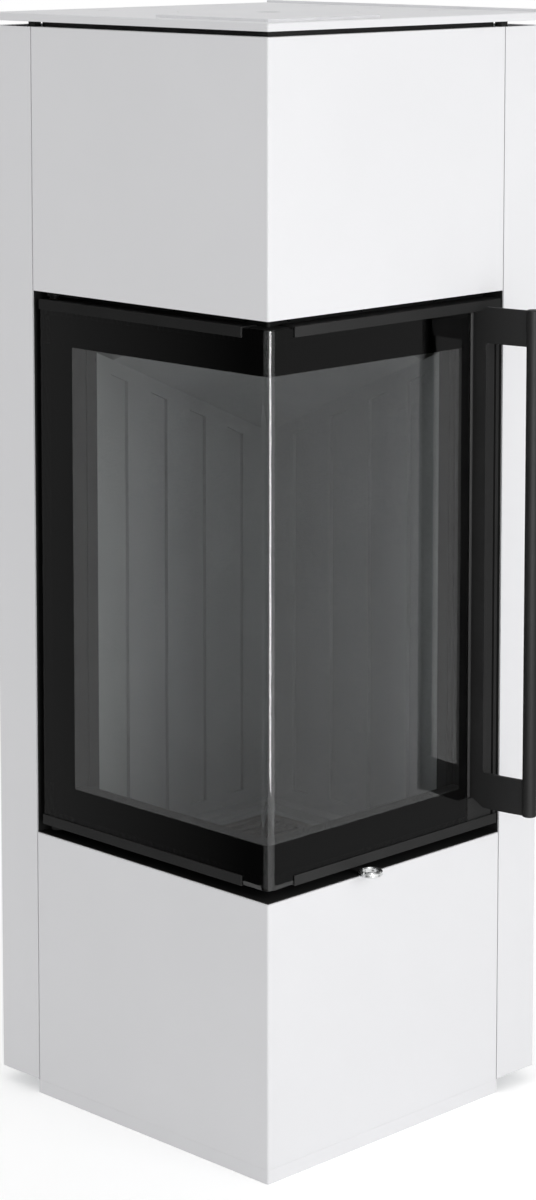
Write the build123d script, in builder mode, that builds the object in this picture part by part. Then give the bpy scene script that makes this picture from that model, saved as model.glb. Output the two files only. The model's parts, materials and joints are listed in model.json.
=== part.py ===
from build123d import *
import os
from math import sqrt

# A free-standing corner-glass wood stove. Millimetres, +Z up, origin on the floor under the
# centre of the square casing. The two glazed faces look along -Y (left face) and +X (right
# face) and meet at the front corner. "Depth" means distance inward from one of these faces.

# ---- casing -------------------------------------------------------------------------------
CASING = 446.0            # side of the square casing
PLINTH_HEIGHT = 16.0
CORNER_LEG = 380.0        # front corner to the panel seam, along each glazed face
SEAM = 1.5                # open joint between two panels
SHEET = 2.0               # panel sheet
BEND = 2.5                # outside radius of a panel bend
LOWER_PANEL = 298.5       # height of the lower front panel
UPPER_PANEL = 300.0       # height of the upper front panel
PANEL_EDGE = 14.0         # turned-in top and bottom edges of the corner panels
STRIP_EDGE = 6.0          # turned-in edge of a side panel beside the door
COLLAR_INSET = 10.0       # black collar behind the gap under the top plate
BASE_SHEET = 3.0
FLOOR_SHEET = 3.0

# ---- top ----------------------------------------------------------------------------------
TOP_GAP = 6.0
TOP_PLATE = 9.0
TOP_OVERHANG = 2.0
TOP_EASE = 1.0            # eased edge of the top plate
RIB_INSET = 20.0
RIB_LEG = 193.0           # front corner to the rib's end, along each face
RIB_WIDTH = 12.0
RIB_RISE = 3.0
COVER_RADIUS = 103.5
COVER_THICKNESS = 4.0
COVER_CLEARANCE = 0.5
COVER_EASE = 0.6
COVER_SEAT = 6.0          # width of the ledge that carries the cover
FINGER_RADIUS = 14.5
SLOT_LENGTH = 18.0
SLOT_WIDTH = 4.0
SLOT_EDGE = 8.0           # first slot to the plate's edge
SLOT_PITCH = 25.0
SLOT_GROUP_PITCH = 103.0
SPACER = 10.0
SPACER_INSET = 2.0

# ---- door ---------------------------------------------------------------------------------
DOOR_HEIGHT = 614.0
DOOR_GAP_LOW = 12.5       # lower panel to door
DOOR_GAP_HIGH = 9.0       # door to upper panel
DOOR_LEFT_LEG = 369.0     # front corner to the hinge end
DOOR_RIGHT_LEG = 375.0    # front corner to the handle end
DOOR_DEPTH = 30.0
GLASS = 4.0
GLASS_BACKSET = 1.5       # glass face behind the casing face
GLASS_BEND = 10.0
GLASS_END_GAP = 1.0
TAPE = 1.0
TAPE_WIDTH = 15.0
CLAMP_SHEET = 1.5
CLAMP_HEIGHT = 11.5
CLAMP_START = 41.0        # front corner to the inner end of a clamp strip
RAIL_DEPTH = 18.0
RAIL_HEIGHT = 50.0
TUBE_WALL = 2.0
STILE_WIDTH = 49.0
HINGE_SIDE = 9.0          # hinge axis to the door's end
HINGE_DEPTH = 15.5        # hinge axis behind the face
PIN_RADIUS = 5.0
PIN_CLEARANCE = 0.05
BUSH_RADIUS = 7.0
BUSH_LENGTH = 20.0
PIN_SHORT = 2.0           # pin ends this much before the end of its bush
BRACKET_RADIUS = 8.0      # rounded end of a hinge bracket
HINGE_PLATE = 4.0
HINGE_WASHER = 3.0        # door to hinge bracket
HINGE_LEAF = 30.0         # height of a bracket's upright leg
SEAL_WIDTH = 7.0
SEAL_OUT = 1.0            # seal outside the edge of the opening
SEAL_PRESS = 0.3          # room left between the seal and the frame
GROOVE_WIDTH = 3.6        # groove beside the latch stile's edge
GROOVE_EDGE = 4.8         # door's end to the groove
GROOVE_DEPTH = 4.0

# ---- latch and handle ---------------------------------------------------------------------
BARREL_RADIUS = 6.0
BARREL_DEPTH = 8.0        # barrel axis behind the face
BARREL_SIDE = 42.0        # door's handle end to the barrel axis
BARREL_GAP = 0.6
BARREL_PIN = 4.0
BARREL_PIN_LENGTH = 7.0
SPINE_LOW = 38.5          # door's bottom edge to the handle's spine
SPINE_HIGH = 12.0         # handle's spine to the door's top edge
ARM_FLARE = 8.0           # arms stand this much past the spine at each end
ARM_HEIGHT = 41.0
HANDLE_SHEET = 4.0
SPINE_REACH = 17.0        # face to the inner edge of the handle window
SPINE_STRAIGHT = 3.0      # straight part of the plate in front of the face
WINDOW_ROUND = 3.0        # rounded corners of the handle window
BAR_EASE = 0.8
BAR_RISE = 1.0            # bar above the upper arm
BAR_RADIUS = 8.25
BAR_REACH = 77.0          # bar axis in front of the face
BAR_SHIFT = 10.0          # bar axis beyond the barrel axis
HOOK_SHEET = 8.0
HOOK_REACH = 29.5         # barrel axis to the front of the hook's nose
HOOK_SIDE = 15.0          # sideways run of the hook's arm
HOOK_WIDTH = 6.0
HOOK_NOSE = 3.0           # thickness of the nose
HOOK_TIP = 19.5           # sideways reach of the nose
HOOK_LIP = 17.5           # sideways place of the lip that the nose lies behind
HOOK_RUN = 5.0            # room on the other side for turning and for the door's swing
HOOK_END = 35.5           # end of the spine to the middle of a hook
HOOK_CLEARANCE = 2.0

# ---- fixed front frame and firebox --------------------------------------------------------
FRAME_GAP = 1.0           # back of the door to the frame
FRAME_PLATE = 4.0
OPENING_LEG = 320.0       # front corner to the side of the opening
OPENING_LOW = 18.0        # door's bottom edge to the opening
OPENING_HIGH = 19.0       # opening to the door's top edge
LINING_START = 46.0       # depth at which the lining begins
LINING = 34.0             # lining board and the air gap behind it
WALL = 4.0
FIREBOX_BELOW = 75.0      # firebox floor plate below the opening
FIREBOX_ABOVE = 58.0      # firebox roof plate above the opening
BAFFLE = 28.0
BAFFLE_DROP = 223.0       # roof plate to the baffle's underside at the back corner of the lining
BAFFLE_SLOPE = 0.635      # rise per millimetre along the diagonal
BAFFLE_FRONT = 72.0       # baffle begins at this depth
BAFFLE_DIAGONAL = 225.0   # front corner to the baffle's front edge, along the diagonal
FLUTE_WIDTH = 26.0
FLUTE_DEPTH = 5.0
FLUTE_FIRST = 81.0        # depth of the first flute's middle
FLUTE_PITCH = 62.0
FLUTE_COUNT = 4
FLUTE_FOOT = 50.0         # firebox floor plate to the foot of the flutes
FLUTE_TOP_GAP = 17.5      # flute top under the baffle

# ---- hearth -------------------------------------------------------------------------------
CHANNEL_DEPTH = 105.0     # back of the air channel behind the face
CHANNEL_LOW = 5.0         # air channel's top below the opening
CHANNEL_SHEET = 2.0
HEARTH = 31.0             # thickness of the hearth
HEARTH_LEDGE = 20.0
HEARTH_DIP = 8.0
GRATE = 150.0
GRATE_THICKNESS = 12.0
GRATE_CLEARANCE = 1.0
GRATE_LEDGE = 9.0
GRATE_SLOT = 7.0
GRATE_SLOTS = 8
ASH_PIT_DEPTH = 65.0
ASH_SHEET = 2.0
PAN_CLEARANCE = 3.0
PAN_HEIGHT = 48.0
PAN_SHEET = 1.2

# ---- air ----------------------------------------------------------------------------------
LEVER_Y = -75.0
LEVER_LOW = 6.0           # door's bottom edge to the middle of the lever
LEVER_WIDTH = 8.0
LEVER_THICKNESS = 4.0
LEVER_SLOT_CLEARANCE = 1.0
RING_OUTER = 13.5
RING_INNER = 9.0
RING_THICKNESS = 6.0
RING_REACH = 13.0         # ring centre in front of the face
DAMPER_LENGTH = 70.0
DAMPER_WIDTH = 36.0
DAMPER_SHEET = 3.0
DAMPER_GAP = 0.5          # damper to the back of the air channel
PORT = 10.0
RING_EASE = 1.2
AIR_BOX_DEPTH = 120.0
AIR_SHEET = 2.0
AIR_BOX_START = 103.0     # depth at which the air box begins
AIR_BOX_TURN = 285.0      # depth at which it widens for the inlet
AIR_BOX_END = 347.0
AIR_BOX_SIDE = 67.0       # side of the air box behind the right face
AIR_BOX_WIDTH = 72.0
AIR_BOX_WIDE = 107.0
INLET_RADIUS = 49.5
INLET_WALL = 1.5
INLET_LOW = 60.0          # firebox floor plate to the inlet's axis
DUCT_DEPTH = 35.0
DUCT_HEIGHT = 40.0
DUCT_SLOT = 4.0
DUCT_SLOT_END = 20.0      # slot's end to the side of the opening

# ---- flue ---------------------------------------------------------------------------------
FLUE_RADIUS = 74.5
FLUE_WALL = 2.5
FLUE_RISE = 126.0         # firebox roof to the axis of the rear outlet
FLUE_ABOVE = 15.5         # barrel's mouth above its branch
FLUE_REACH = 40.0         # spigot behind the casing
FLUE_BRANCH = 150.0       # barrel's axis to the end of its branch
FLUE_COLLAR = 3.5
PANEL_HOLE_CLEARANCE = 2.0
CAP_SHEET = 3.0
CAP_LIP = 10.0

# ---- carcass ------------------------------------------------------------------------------
POST = 28.0
POST_SHEET = 2.0
TOP_FRAME = 3.0
FRAME_VENT_OUT = 46.0     # vents in the top frame, outside the cover's opening
FRAME_VENT_LENGTH = 110.0
FRAME_VENT_WIDTH = 24.0
PANEL_FIT = 0.5           # casing floor and top frame to the panels
LEG_INSET = 8.0
SHIELD = 1.5
SHIELD_LOW = 24.0         # plinth to the foot of a heat shield
SHIELD_HIGH = 20.0        # heat shield to the casing's top
LEG = 22.0
LEG_SHEET = 3.0
POST_SET = 21.0           # seam to the outer side of a post
BRACKET_WIDTH = 30.0
BRACKET_LEG = 93.0        # depth of a bracket's near side
BRACKET_LOW = 104.0       # plinth to the lowest brackets
BRACKET_HIGH = 90.0       # highest brackets to the casing's top

# ---- worked out from the sizes above ------------------------------------------------------
HALF = CASING / 2
LOWER_PANEL_TOP = PLINTH_HEIGHT + LOWER_PANEL
DOOR_BOTTOM = LOWER_PANEL_TOP + DOOR_GAP_LOW
DOOR_TOP = DOOR_BOTTOM + DOOR_HEIGHT
UPPER_PANEL_BOTTOM = DOOR_TOP + DOOR_GAP_HIGH
CASING_TOP = UPPER_PANEL_BOTTOM + UPPER_PANEL
OPENING_BOTTOM = DOOR_BOTTOM + OPENING_LOW
OPENING_TOP = DOOR_TOP - OPENING_HIGH
FIREBOX_FLOOR = OPENING_BOTTOM - FIREBOX_BELOW
FIREBOX_ROOF = OPENING_TOP + FIREBOX_ABOVE
FRAME_TOP = FIREBOX_ROOF + WALL
CHANNEL_BASE = FIREBOX_FLOOR + WALL
CHANNEL_TOP = OPENING_BOTTOM - CHANNEL_LOW
HEARTH_TOP = CHANNEL_BASE + HEARTH
FLUTE_BOTTOM = FIREBOX_FLOOR + FLUTE_FOOT
BAFFLE_CORNER_Z = FIREBOX_ROOF - BAFFLE_DROP
FLUE_Z = FRAME_TOP + FLUE_RISE
FLUE_TOP = FLUE_Z + FLUE_RADIUS + FLUE_ABOVE
INLET_Z = FIREBOX_FLOOR - INLET_LOW
LEVER_Z = DOOR_BOTTOM - LEVER_LOW
SPINE_BOTTOM = DOOR_BOTTOM + SPINE_LOW
SPINE_TOP = DOOR_TOP - SPINE_HIGH
BRACKET_BOTTOM = PLINTH_HEIGHT + BRACKET_LOW
BRACKET_TOP = CASING_TOP - BRACKET_HIGH
SEAM_X = HALF - CORNER_LEG                       # seam on the left face
TOP_PLATE_BOTTOM = CASING_TOP + TOP_GAP
TOP_PLATE_TOP = TOP_PLATE_BOTTOM + TOP_PLATE
DOOR_LEFT = HALF - DOOR_LEFT_LEG
DOOR_RIGHT = -HALF + DOOR_RIGHT_LEG
CLAMP_LEFT = HALF - CLAMP_START
RAIL_FACE = GLASS_BACKSET + GLASS + TAPE
RAIL_BACK = RAIL_FACE + RAIL_DEPTH
RAIL_BOTTOM = DOOR_BOTTOM + CLAMP_SHEET
RAIL_TOP = DOOR_TOP - CLAMP_SHEET
FRAME_FACE = DOOR_DEPTH + FRAME_GAP
FRAME_BACK = FRAME_FACE + FRAME_PLATE
LINING_X = HALF - OPENING_LEG                    # left lining face; the rear one is at -this
WALL_X = LINING_X - LINING
POST_X = SEAM_X - POST_SET
HINGE_X = DOOR_LEFT + HINGE_SIDE
HINGE_Y = -HALF + HINGE_DEPTH
BARREL_LEG = DOOR_RIGHT_LEG - BARREL_SIDE        # front corner to the barrel axis
BARREL_X = HALF - BARREL_DEPTH
BARREL_Y = -HALF + BARREL_LEG
BAR_X = HALF + BAR_REACH
BAR_Y = BARREL_Y + BAR_SHIFT
HOOK_LEVELS = (SPINE_BOTTOM + HOOK_END, SPINE_TOP - HOOK_END)
LATCH_EDGE = BARREL_Y - BARREL_RADIUS - BARREL_GAP
HEARTH_TO = HALF - CHANNEL_DEPTH                 # front edge of the hearth
HEARTH_MID = (LINING_X + HEARTH_TO) / 2
GRATE_TOP = HEARTH_TOP - HEARTH_DIP
ASH_PIT_OUTER = GRATE - 2 * GRATE_LEDGE + 2 * ASH_SHEET
AIR_BOX_BACK = -HALF + AIR_BOX_END
AIR_BOX_RIGHT = HALF - AIR_BOX_SIDE
INLET_X = AIR_BOX_RIGHT - AIR_BOX_WIDE / 2

# mirror plane through the front and back corners: it swaps the left and the right face
DIAGONAL = Plane(origin=(0, 0, 0), x_dir=(1, -1, 0), z_dir=(1, 1, 0))

LOW = (Align.MIN, Align.MIN, Align.MIN)


def save(piece, label):
    """Name a finished piece and write it to its own file."""
    piece.part.label = label
    export_step(piece.part, "parts/" + label + ".step")


def block(x0, x1, y0, y1, z0, z1, mode=Mode.ADD):
    """Add a box that is given by its two corners."""
    with Locations((x0, y0, z0)):
        Box(x1 - x0, y1 - y0, z1 - z0, align=LOW, mode=mode)


def disc(x, y, z0, z1, radius, mode=Mode.ADD):
    """Add an upright cylinder."""
    with Locations((x, y, z0)):
        Cylinder(radius, z1 - z0, align=(Align.CENTER, Align.CENTER, Align.MIN), mode=mode)


def lying_disc(x, z, y0, y1, radius, mode=Mode.ADD):
    """Add a cylinder that lies along Y."""
    with BuildSketch(Plane.XZ.offset(-y1)) as ring:
        with Locations((x, z)):
            Circle(radius)
    extrude(ring.sketch, amount=y1 - y0, mode=mode)


def corner_band(depth, thickness, left_end, right_end, bend, z0, z1, mode=Mode.ADD):
    """Add an upright band that follows both faces round the front corner."""
    outer = HALF - depth
    inner = outer - thickness
    with BuildSketch(Plane.XY.offset(z0)) as band:
        with Locations((left_end, -outer)):
            Rectangle(outer - left_end, thickness, align=(Align.MIN, Align.MIN))
        with Locations((outer, -outer)):
            Rectangle(thickness, outer + right_end, align=(Align.MAX, Align.MIN))
        if bend > 0:
            corner = band.vertices().sort_by_distance((outer, -outer, z0))[0]
            fillet(corner, bend)
        if bend > thickness:
            corner = band.vertices().sort_by_distance((inner, -inner, z0))[0]
            fillet(corner, bend - thickness)
    extrude(band.sketch, amount=z1 - z0, mode=mode)


def baffle_plane(lift):
    """Sloping plane of the baffle's underside, raised by lift. It falls to the back corner."""
    corner = (LINING_X, -LINING_X, BAFFLE_CORNER_Z + lift)
    return Plane(origin=corner, x_dir=(1, 1, 0), z_dir=(-BAFFLE_SLOPE / sqrt(2), BAFFLE_SLOPE / sqrt(2), 1))


os.makedirs("parts", exist_ok=True)

# ---- base and carcass ---------------------------------------------------------------------

with BuildPart() as base_tray:
    block(SEAM_X, HALF, -HALF, -SEAM_X, 0, PLINTH_HEIGHT)
    fillet(base_tray.edges().filter_by(Axis.Z).sort_by_distance((HALF, -HALF, 0))[0], BEND)
    block(SEAM_X + SHEET, HALF - SHEET, -HALF + SHEET, -SEAM_X - SHEET, BASE_SHEET, PLINTH_HEIGHT,
          Mode.SUBTRACT)
save(base_tray, "base_tray")

CARCASS_FLOOR_TOP = PLINTH_HEIGHT + FLOOR_SHEET
PANEL_INSIDE = HALF - SHEET - PANEL_FIT
POST_TOP = CASING_TOP - SHEET - TOP_FRAME

with BuildPart() as casing_floor:
    block(-PANEL_INSIDE, PANEL_INSIDE, -PANEL_INSIDE, PANEL_INSIDE, PLINTH_HEIGHT, CARCASS_FLOOR_TOP)
save(casing_floor, "casing_floor")

with BuildPart() as seam_post_left:
    block(POST_X, POST_X + POST, -HALF + FRAME_BACK, -HALF + FRAME_BACK + POST_SHEET,
          CARCASS_FLOOR_TOP, POST_TOP)
    block(POST_X, POST_X + POST_SHEET, -HALF + FRAME_BACK, -HALF + FRAME_BACK + POST,
          CARCASS_FLOOR_TOP, POST_TOP)
save(seam_post_left, "seam_post_left")

with BuildPart() as seam_post_right:
    add(seam_post_left.part)
    mirror(about=DIAGONAL, mode=Mode.REPLACE)
save(seam_post_right, "seam_post_right")

with BuildPart() as rear_post:
    block(POST_X, POST_X + POST, -POST_X - POST_SHEET, -POST_X, CARCASS_FLOOR_TOP, POST_TOP)
    block(POST_X, POST_X + POST_SHEET, -POST_X - POST, -POST_X, CARCASS_FLOOR_TOP, POST_TOP)
save(rear_post, "rear_post")

with BuildPart() as top_frame:
    block(-PANEL_INSIDE, PANEL_INSIDE, -PANEL_INSIDE, PANEL_INSIDE, POST_TOP, POST_TOP + TOP_FRAME)
    disc(0, 0, POST_TOP, POST_TOP + TOP_FRAME, COVER_RADIUS, Mode.SUBTRACT)
    with BuildSketch(Plane.XY.offset(POST_TOP)) as vents:
        with PolarLocations(COVER_RADIUS + FRAME_VENT_OUT, 4, 45):
            Rectangle(FRAME_VENT_WIDTH, FRAME_VENT_LENGTH)
    extrude(amount=TOP_FRAME, mode=Mode.SUBTRACT)
save(top_frame, "top_frame")

with BuildPart() as panel_brackets:
    for level in (BRACKET_BOTTOM, (BRACKET_BOTTOM + BRACKET_TOP) / 2, BRACKET_TOP):
        block(-HALF + SHEET, POST_X - SHIELD, -HALF + BRACKET_LEG, -HALF + BRACKET_LEG + BRACKET_WIDTH,
              level, level + SHEET)
    mirror(about=DIAGONAL)
save(panel_brackets, "panel_brackets")

with BuildPart() as heat_shield_left:
    block(POST_X - SHIELD, POST_X, -HALF + FRAME_BACK, -POST_X, PLINTH_HEIGHT + SHIELD_LOW,
          CASING_TOP - SHIELD_HIGH)
save(heat_shield_left, "heat_shield_left")

with BuildPart() as heat_shield_rear:
    add(heat_shield_left.part)
    mirror(about=DIAGONAL, mode=Mode.REPLACE)
    lying_disc(0, FLUE_Z, 0, HALF, FLUE_RADIUS + FLUE_COLLAR + PANEL_HOLE_CLEARANCE, Mode.SUBTRACT)
    lying_disc(INLET_X, INLET_Z, 0, HALF, INLET_RADIUS + PANEL_HOLE_CLEARANCE, Mode.SUBTRACT)
save(heat_shield_rear, "heat_shield_rear")

# ---- casing panels ------------------------------------------------------------------------

PANEL_LEFT_END = SEAM_X + SEAM


def corner_panel(z0, z1):
    """Add one corner panel with its turned-in edges."""
    corner_band(0, SHEET, PANEL_LEFT_END, -PANEL_LEFT_END, BEND, z0, z1)
    for edge in (z0, z1 - SHEET):
        corner_band(SHEET, PANEL_EDGE - SHEET, PANEL_LEFT_END, -PANEL_LEFT_END, 0, edge, edge + SHEET)
    block(PANEL_LEFT_END, PANEL_LEFT_END + SHEET, -HALF + SHEET, -HALF + FRAME_FACE, z0, z1)
    block(HALF - FRAME_FACE, HALF - SHEET, -PANEL_LEFT_END - SHEET, -PANEL_LEFT_END, z0, z1)


with BuildPart() as lower_front_panel:
    corner_panel(PLINTH_HEIGHT, LOWER_PANEL_TOP)
    corner_band(SHEET, FRAME_BACK - SHEET, -PANEL_INSIDE, PANEL_INSIDE, 0, PLINTH_HEIGHT,
                CARCASS_FLOOR_TOP, Mode.SUBTRACT)
save(lower_front_panel, "lower_front_panel")

with BuildPart() as upper_front_panel:
    corner_panel(UPPER_PANEL_BOTTOM, CASING_TOP)
    corner_band(SHEET, FRAME_BACK - SHEET, -PANEL_INSIDE, PANEL_INSIDE, 0, POST_TOP,
                POST_TOP + TOP_FRAME, Mode.SUBTRACT)
save(upper_front_panel, "upper_front_panel")

with BuildPart() as left_side_panel:
    block(-HALF, -HALF + SHEET, -HALF, HALF - SHEET - SEAM, PLINTH_HEIGHT, CASING_TOP)
    block(-HALF, SEAM_X, -HALF, -HALF + SHEET, PLINTH_HEIGHT, CASING_TOP)
    block(SEAM_X - SHEET, SEAM_X, -HALF, -HALF + STRIP_EDGE, CARCASS_FLOOR_TOP, POST_TOP)
    fillet(left_side_panel.edges().filter_by(Axis.Z).sort_by_distance((-HALF, -HALF, 600))[0], BEND)
    block(-HALF + SHEET, -HALF + PANEL_EDGE, -HALF + SHEET, HALF - SHEET - SEAM, CASING_TOP - SHEET,
          CASING_TOP)
save(left_side_panel, "left_side_panel")

with BuildPart() as rear_panel:
    block(-HALF, HALF, HALF - SHEET, HALF, PLINTH_HEIGHT, CASING_TOP)
    block(HALF - SHEET, HALF, -SEAM_X, HALF, PLINTH_HEIGHT, CASING_TOP)
    block(HALF - STRIP_EDGE, HALF, -SEAM_X, -SEAM_X + SHEET, CARCASS_FLOOR_TOP, POST_TOP)
    fillet(rear_panel.edges().filter_by(Axis.Z).sort_by_distance((HALF, HALF, 600))[0], BEND)
    block(-HALF + PANEL_EDGE + SEAM, HALF - SHEET, HALF - PANEL_EDGE, HALF - SHEET, CASING_TOP - SHEET,
          CASING_TOP)
    lying_disc(0, FLUE_Z, 0, HALF, FLUE_RADIUS + FLUE_COLLAR + PANEL_HOLE_CLEARANCE, Mode.SUBTRACT)
    lying_disc(INLET_X, INLET_Z, 0, HALF, INLET_RADIUS + PANEL_HOLE_CLEARANCE, Mode.SUBTRACT)
save(rear_panel, "rear_panel")

# ---- top ----------------------------------------------------------------------------------

COLLAR_OUT = HALF - COLLAR_INSET

with BuildPart() as top_collar:
    left = SEAM_X + COLLAR_INSET
    block(left, COLLAR_OUT, -COLLAR_OUT, -left, POST_TOP + TOP_FRAME, TOP_PLATE_BOTTOM)
    block(left + SHEET, COLLAR_OUT - SHEET, -COLLAR_OUT + SHEET, -left - SHEET, POST_TOP + TOP_FRAME,
          TOP_PLATE_BOTTOM, Mode.SUBTRACT)
    # the near sides stand on the turned-in edges of the panel
    corner_band(0, PANEL_EDGE, -HALF, HALF, 0, POST_TOP + TOP_FRAME, CASING_TOP, Mode.SUBTRACT)
save(top_collar, "top_collar")

with BuildPart() as top_spacers:
    near = -HALF + SPACER_INSET + SPACER / 2
    rear = HALF - SPACER_INSET - SPACER / 2
    with Locations((SEAM_X, near, CASING_TOP), (-near, -SEAM_X, CASING_TOP), (near, rear, CASING_TOP),
                   (near, 0, CASING_TOP), (0, rear, CASING_TOP)):
        Box(SPACER, SPACER, TOP_GAP, align=(Align.CENTER, Align.CENTER, Align.MIN))
save(top_spacers, "top_spacers")

PLATE_HALF = HALF + TOP_OVERHANG

with BuildPart() as top_plate:
    block(-PLATE_HALF, PLATE_HALF, -PLATE_HALF, PLATE_HALF, TOP_PLATE_BOTTOM, TOP_PLATE_TOP)
    fillet(top_plate.edges().filter_by(Axis.Z), BEND)
    chamfer(top_plate.faces().sort_by(Axis.Z)[-1].edges(), TOP_EASE)
    # raised rib along the front parts of both near edges, and a lip along the rear edge
    rib, rib_end = HALF - RIB_INSET, HALF - RIB_LEG
    block(rib_end, rib, -rib, -rib + RIB_WIDTH, TOP_PLATE_TOP, TOP_PLATE_TOP + RIB_RISE)
    block(rib - RIB_WIDTH, rib, -rib, -rib_end, TOP_PLATE_TOP, TOP_PLATE_TOP + RIB_RISE)
    block(-PLATE_HALF + TOP_EASE, PLATE_HALF - TOP_EASE, PLATE_HALF - TOP_EASE - SHEET,
          PLATE_HALF - TOP_EASE, TOP_PLATE_TOP, TOP_PLATE_TOP + RIB_RISE)
    # seat and through hole for the flue cover
    disc(0, 0, TOP_PLATE_TOP - COVER_THICKNESS, TOP_PLATE_TOP, COVER_RADIUS + COVER_CLEARANCE,
         Mode.SUBTRACT)
    disc(0, 0, TOP_PLATE_BOTTOM, TOP_PLATE_TOP, COVER_RADIUS - COVER_SEAT, Mode.SUBTRACT)
    # vent slots: three groups of three on each far side
    with BuildSketch(Plane.XY.offset(TOP_PLATE_BOTTOM)) as slots:
        for row in range(3):
            reach = PLATE_HALF - SLOT_EDGE - row * SLOT_PITCH
            for group in (-1, 0, 1):
                with Locations((-reach, group * SLOT_GROUP_PITCH)):
                    Rectangle(SLOT_WIDTH, SLOT_LENGTH)
                with Locations((group * SLOT_GROUP_PITCH, reach)):
                    Rectangle(SLOT_LENGTH, SLOT_WIDTH)
    extrude(amount=TOP_PLATE, mode=Mode.SUBTRACT)
save(top_plate, "top_plate")

with BuildPart() as flue_cover:
    disc(0, 0, TOP_PLATE_TOP - COVER_THICKNESS, TOP_PLATE_TOP, COVER_RADIUS)
    disc(0, 0, TOP_PLATE_TOP - COVER_THICKNESS, TOP_PLATE_TOP, FINGER_RADIUS, Mode.SUBTRACT)
    chamfer(flue_cover.faces().sort_by(Axis.Z)[-1].edges(), COVER_EASE)
save(flue_cover, "flue_cover")

# ---- fixed front frame --------------------------------------------------------------------

FRAME_IN = HALF - FRAME_BACK
FRAME_OUT = HALF - FRAME_FACE

with BuildPart() as frame_left_post:
    block(POST_X, LINING_X, -FRAME_OUT, -FRAME_IN, CARCASS_FLOOR_TOP, POST_TOP)
    block(LINING_X - TUBE_WALL, LINING_X, -FRAME_IN, -HALF + LINING_START, CHANNEL_TOP, FIREBOX_ROOF)
save(frame_left_post, "frame_left_post")

with BuildPart() as frame_right_post:
    add(frame_left_post.part)
    mirror(about=DIAGONAL, mode=Mode.REPLACE)
    # windows that the latch hooks reach through; the side away from the corner is the lip
    for level in HOOK_LEVELS:
        block(FRAME_IN, FRAME_OUT, BARREL_Y - HOOK_RUN, BARREL_Y + HOOK_LIP,
              level - HOOK_SHEET / 2 - HOOK_CLEARANCE, level + HOOK_SHEET / 2 + HOOK_CLEARANCE,
              Mode.SUBTRACT)
save(frame_right_post, "frame_right_post")

with BuildPart() as frame_bottom_rail:
    corner_band(FRAME_FACE, FRAME_PLATE, LINING_X, -LINING_X, FRAME_PLATE, FIREBOX_FLOOR,
                OPENING_BOTTOM)
    block(FRAME_IN - 1, FRAME_OUT + 1, LEVER_Y - LEVER_WIDTH / 2 - LEVER_SLOT_CLEARANCE,
          LEVER_Y + LEVER_WIDTH / 2 + LEVER_SLOT_CLEARANCE,
          LEVER_Z - LEVER_THICKNESS / 2 - LEVER_SLOT_CLEARANCE,
          LEVER_Z + LEVER_THICKNESS / 2 + LEVER_SLOT_CLEARANCE, Mode.SUBTRACT)
save(frame_bottom_rail, "frame_bottom_rail")

with BuildPart() as frame_top_rail:
    corner_band(FRAME_FACE, FRAME_PLATE, LINING_X, -LINING_X, FRAME_PLATE, OPENING_TOP, FRAME_TOP)
save(frame_top_rail, "frame_top_rail")

# ---- firebox ------------------------------------------------------------------------------

with BuildPart() as firebox_left_wall:
    block(WALL_X - WALL, WALL_X, -FRAME_IN, -WALL_X + WALL, CHANNEL_BASE, FIREBOX_ROOF)
save(firebox_left_wall, "firebox_left_wall")

with BuildPart() as firebox_rear_wall:
    block(WALL_X, FRAME_IN, -WALL_X, -WALL_X + WALL, CHANNEL_BASE, FIREBOX_ROOF)
save(firebox_rear_wall, "firebox_rear_wall")

DAMPER_X = HEARTH_TO + CHANNEL_SHEET + DAMPER_GAP

with BuildPart() as firebox_floor:
    block(WALL_X - WALL, FRAME_IN, -FRAME_IN, -WALL_X + WALL, FIREBOX_FLOOR, CHANNEL_BASE)
    block(HEARTH_MID - ASH_PIT_OUTER / 2 + ASH_SHEET, HEARTH_MID + ASH_PIT_OUTER / 2 - ASH_SHEET,
          -HEARTH_MID - ASH_PIT_OUTER / 2 + ASH_SHEET, -HEARTH_MID + ASH_PIT_OUTER / 2 - ASH_SHEET,
          FIREBOX_FLOOR, CHANNEL_BASE, Mode.SUBTRACT)
    with BuildSketch(Plane.XY.offset(FIREBOX_FLOOR)) as ports:
        with Locations((HEARTH_TO + CHANNEL_SHEET + DAMPER_WIDTH / 2, LEVER_Y)):
            with GridLocations(0, 2 * PORT, 1, 3):
                Rectangle(DAMPER_WIDTH - PORT, PORT)
    extrude(amount=WALL, mode=Mode.SUBTRACT)
save(firebox_floor, "firebox_floor")

with BuildPart() as firebox_roof:
    block(WALL_X - WALL, FRAME_IN, -FRAME_IN, -WALL_X + WALL, FIREBOX_ROOF, FRAME_TOP)
    disc(0, 0, FIREBOX_ROOF, FRAME_TOP, FLUE_RADIUS - FLUE_WALL, Mode.SUBTRACT)
save(firebox_roof, "firebox_roof")

with BuildPart() as firebox_legs:
    near, far, right = -FRAME_IN + LEG_INSET, -WALL_X - LEG_INSET, FRAME_IN - LEG_INSET
    for x, y, dx, dy in ((WALL_X, near, 1, 1), (WALL_X, far, 1, -1), (right, near, -1, 1),
                         (right, far, -1, -1)):
        with BuildSketch(Plane.XY.offset(CARCASS_FLOOR_TOP)) as angle:
            with Locations((x + dx * LEG / 2, y + dy * LEG_SHEET / 2)):
                Rectangle(LEG, LEG_SHEET)
            with Locations((x + dx * LEG_SHEET / 2, y + dy * LEG / 2)):
                Rectangle(LEG_SHEET, LEG)
        extrude(amount=FIREBOX_FLOOR - CARCASS_FLOOR_TOP)
save(firebox_legs, "firebox_legs")

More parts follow.
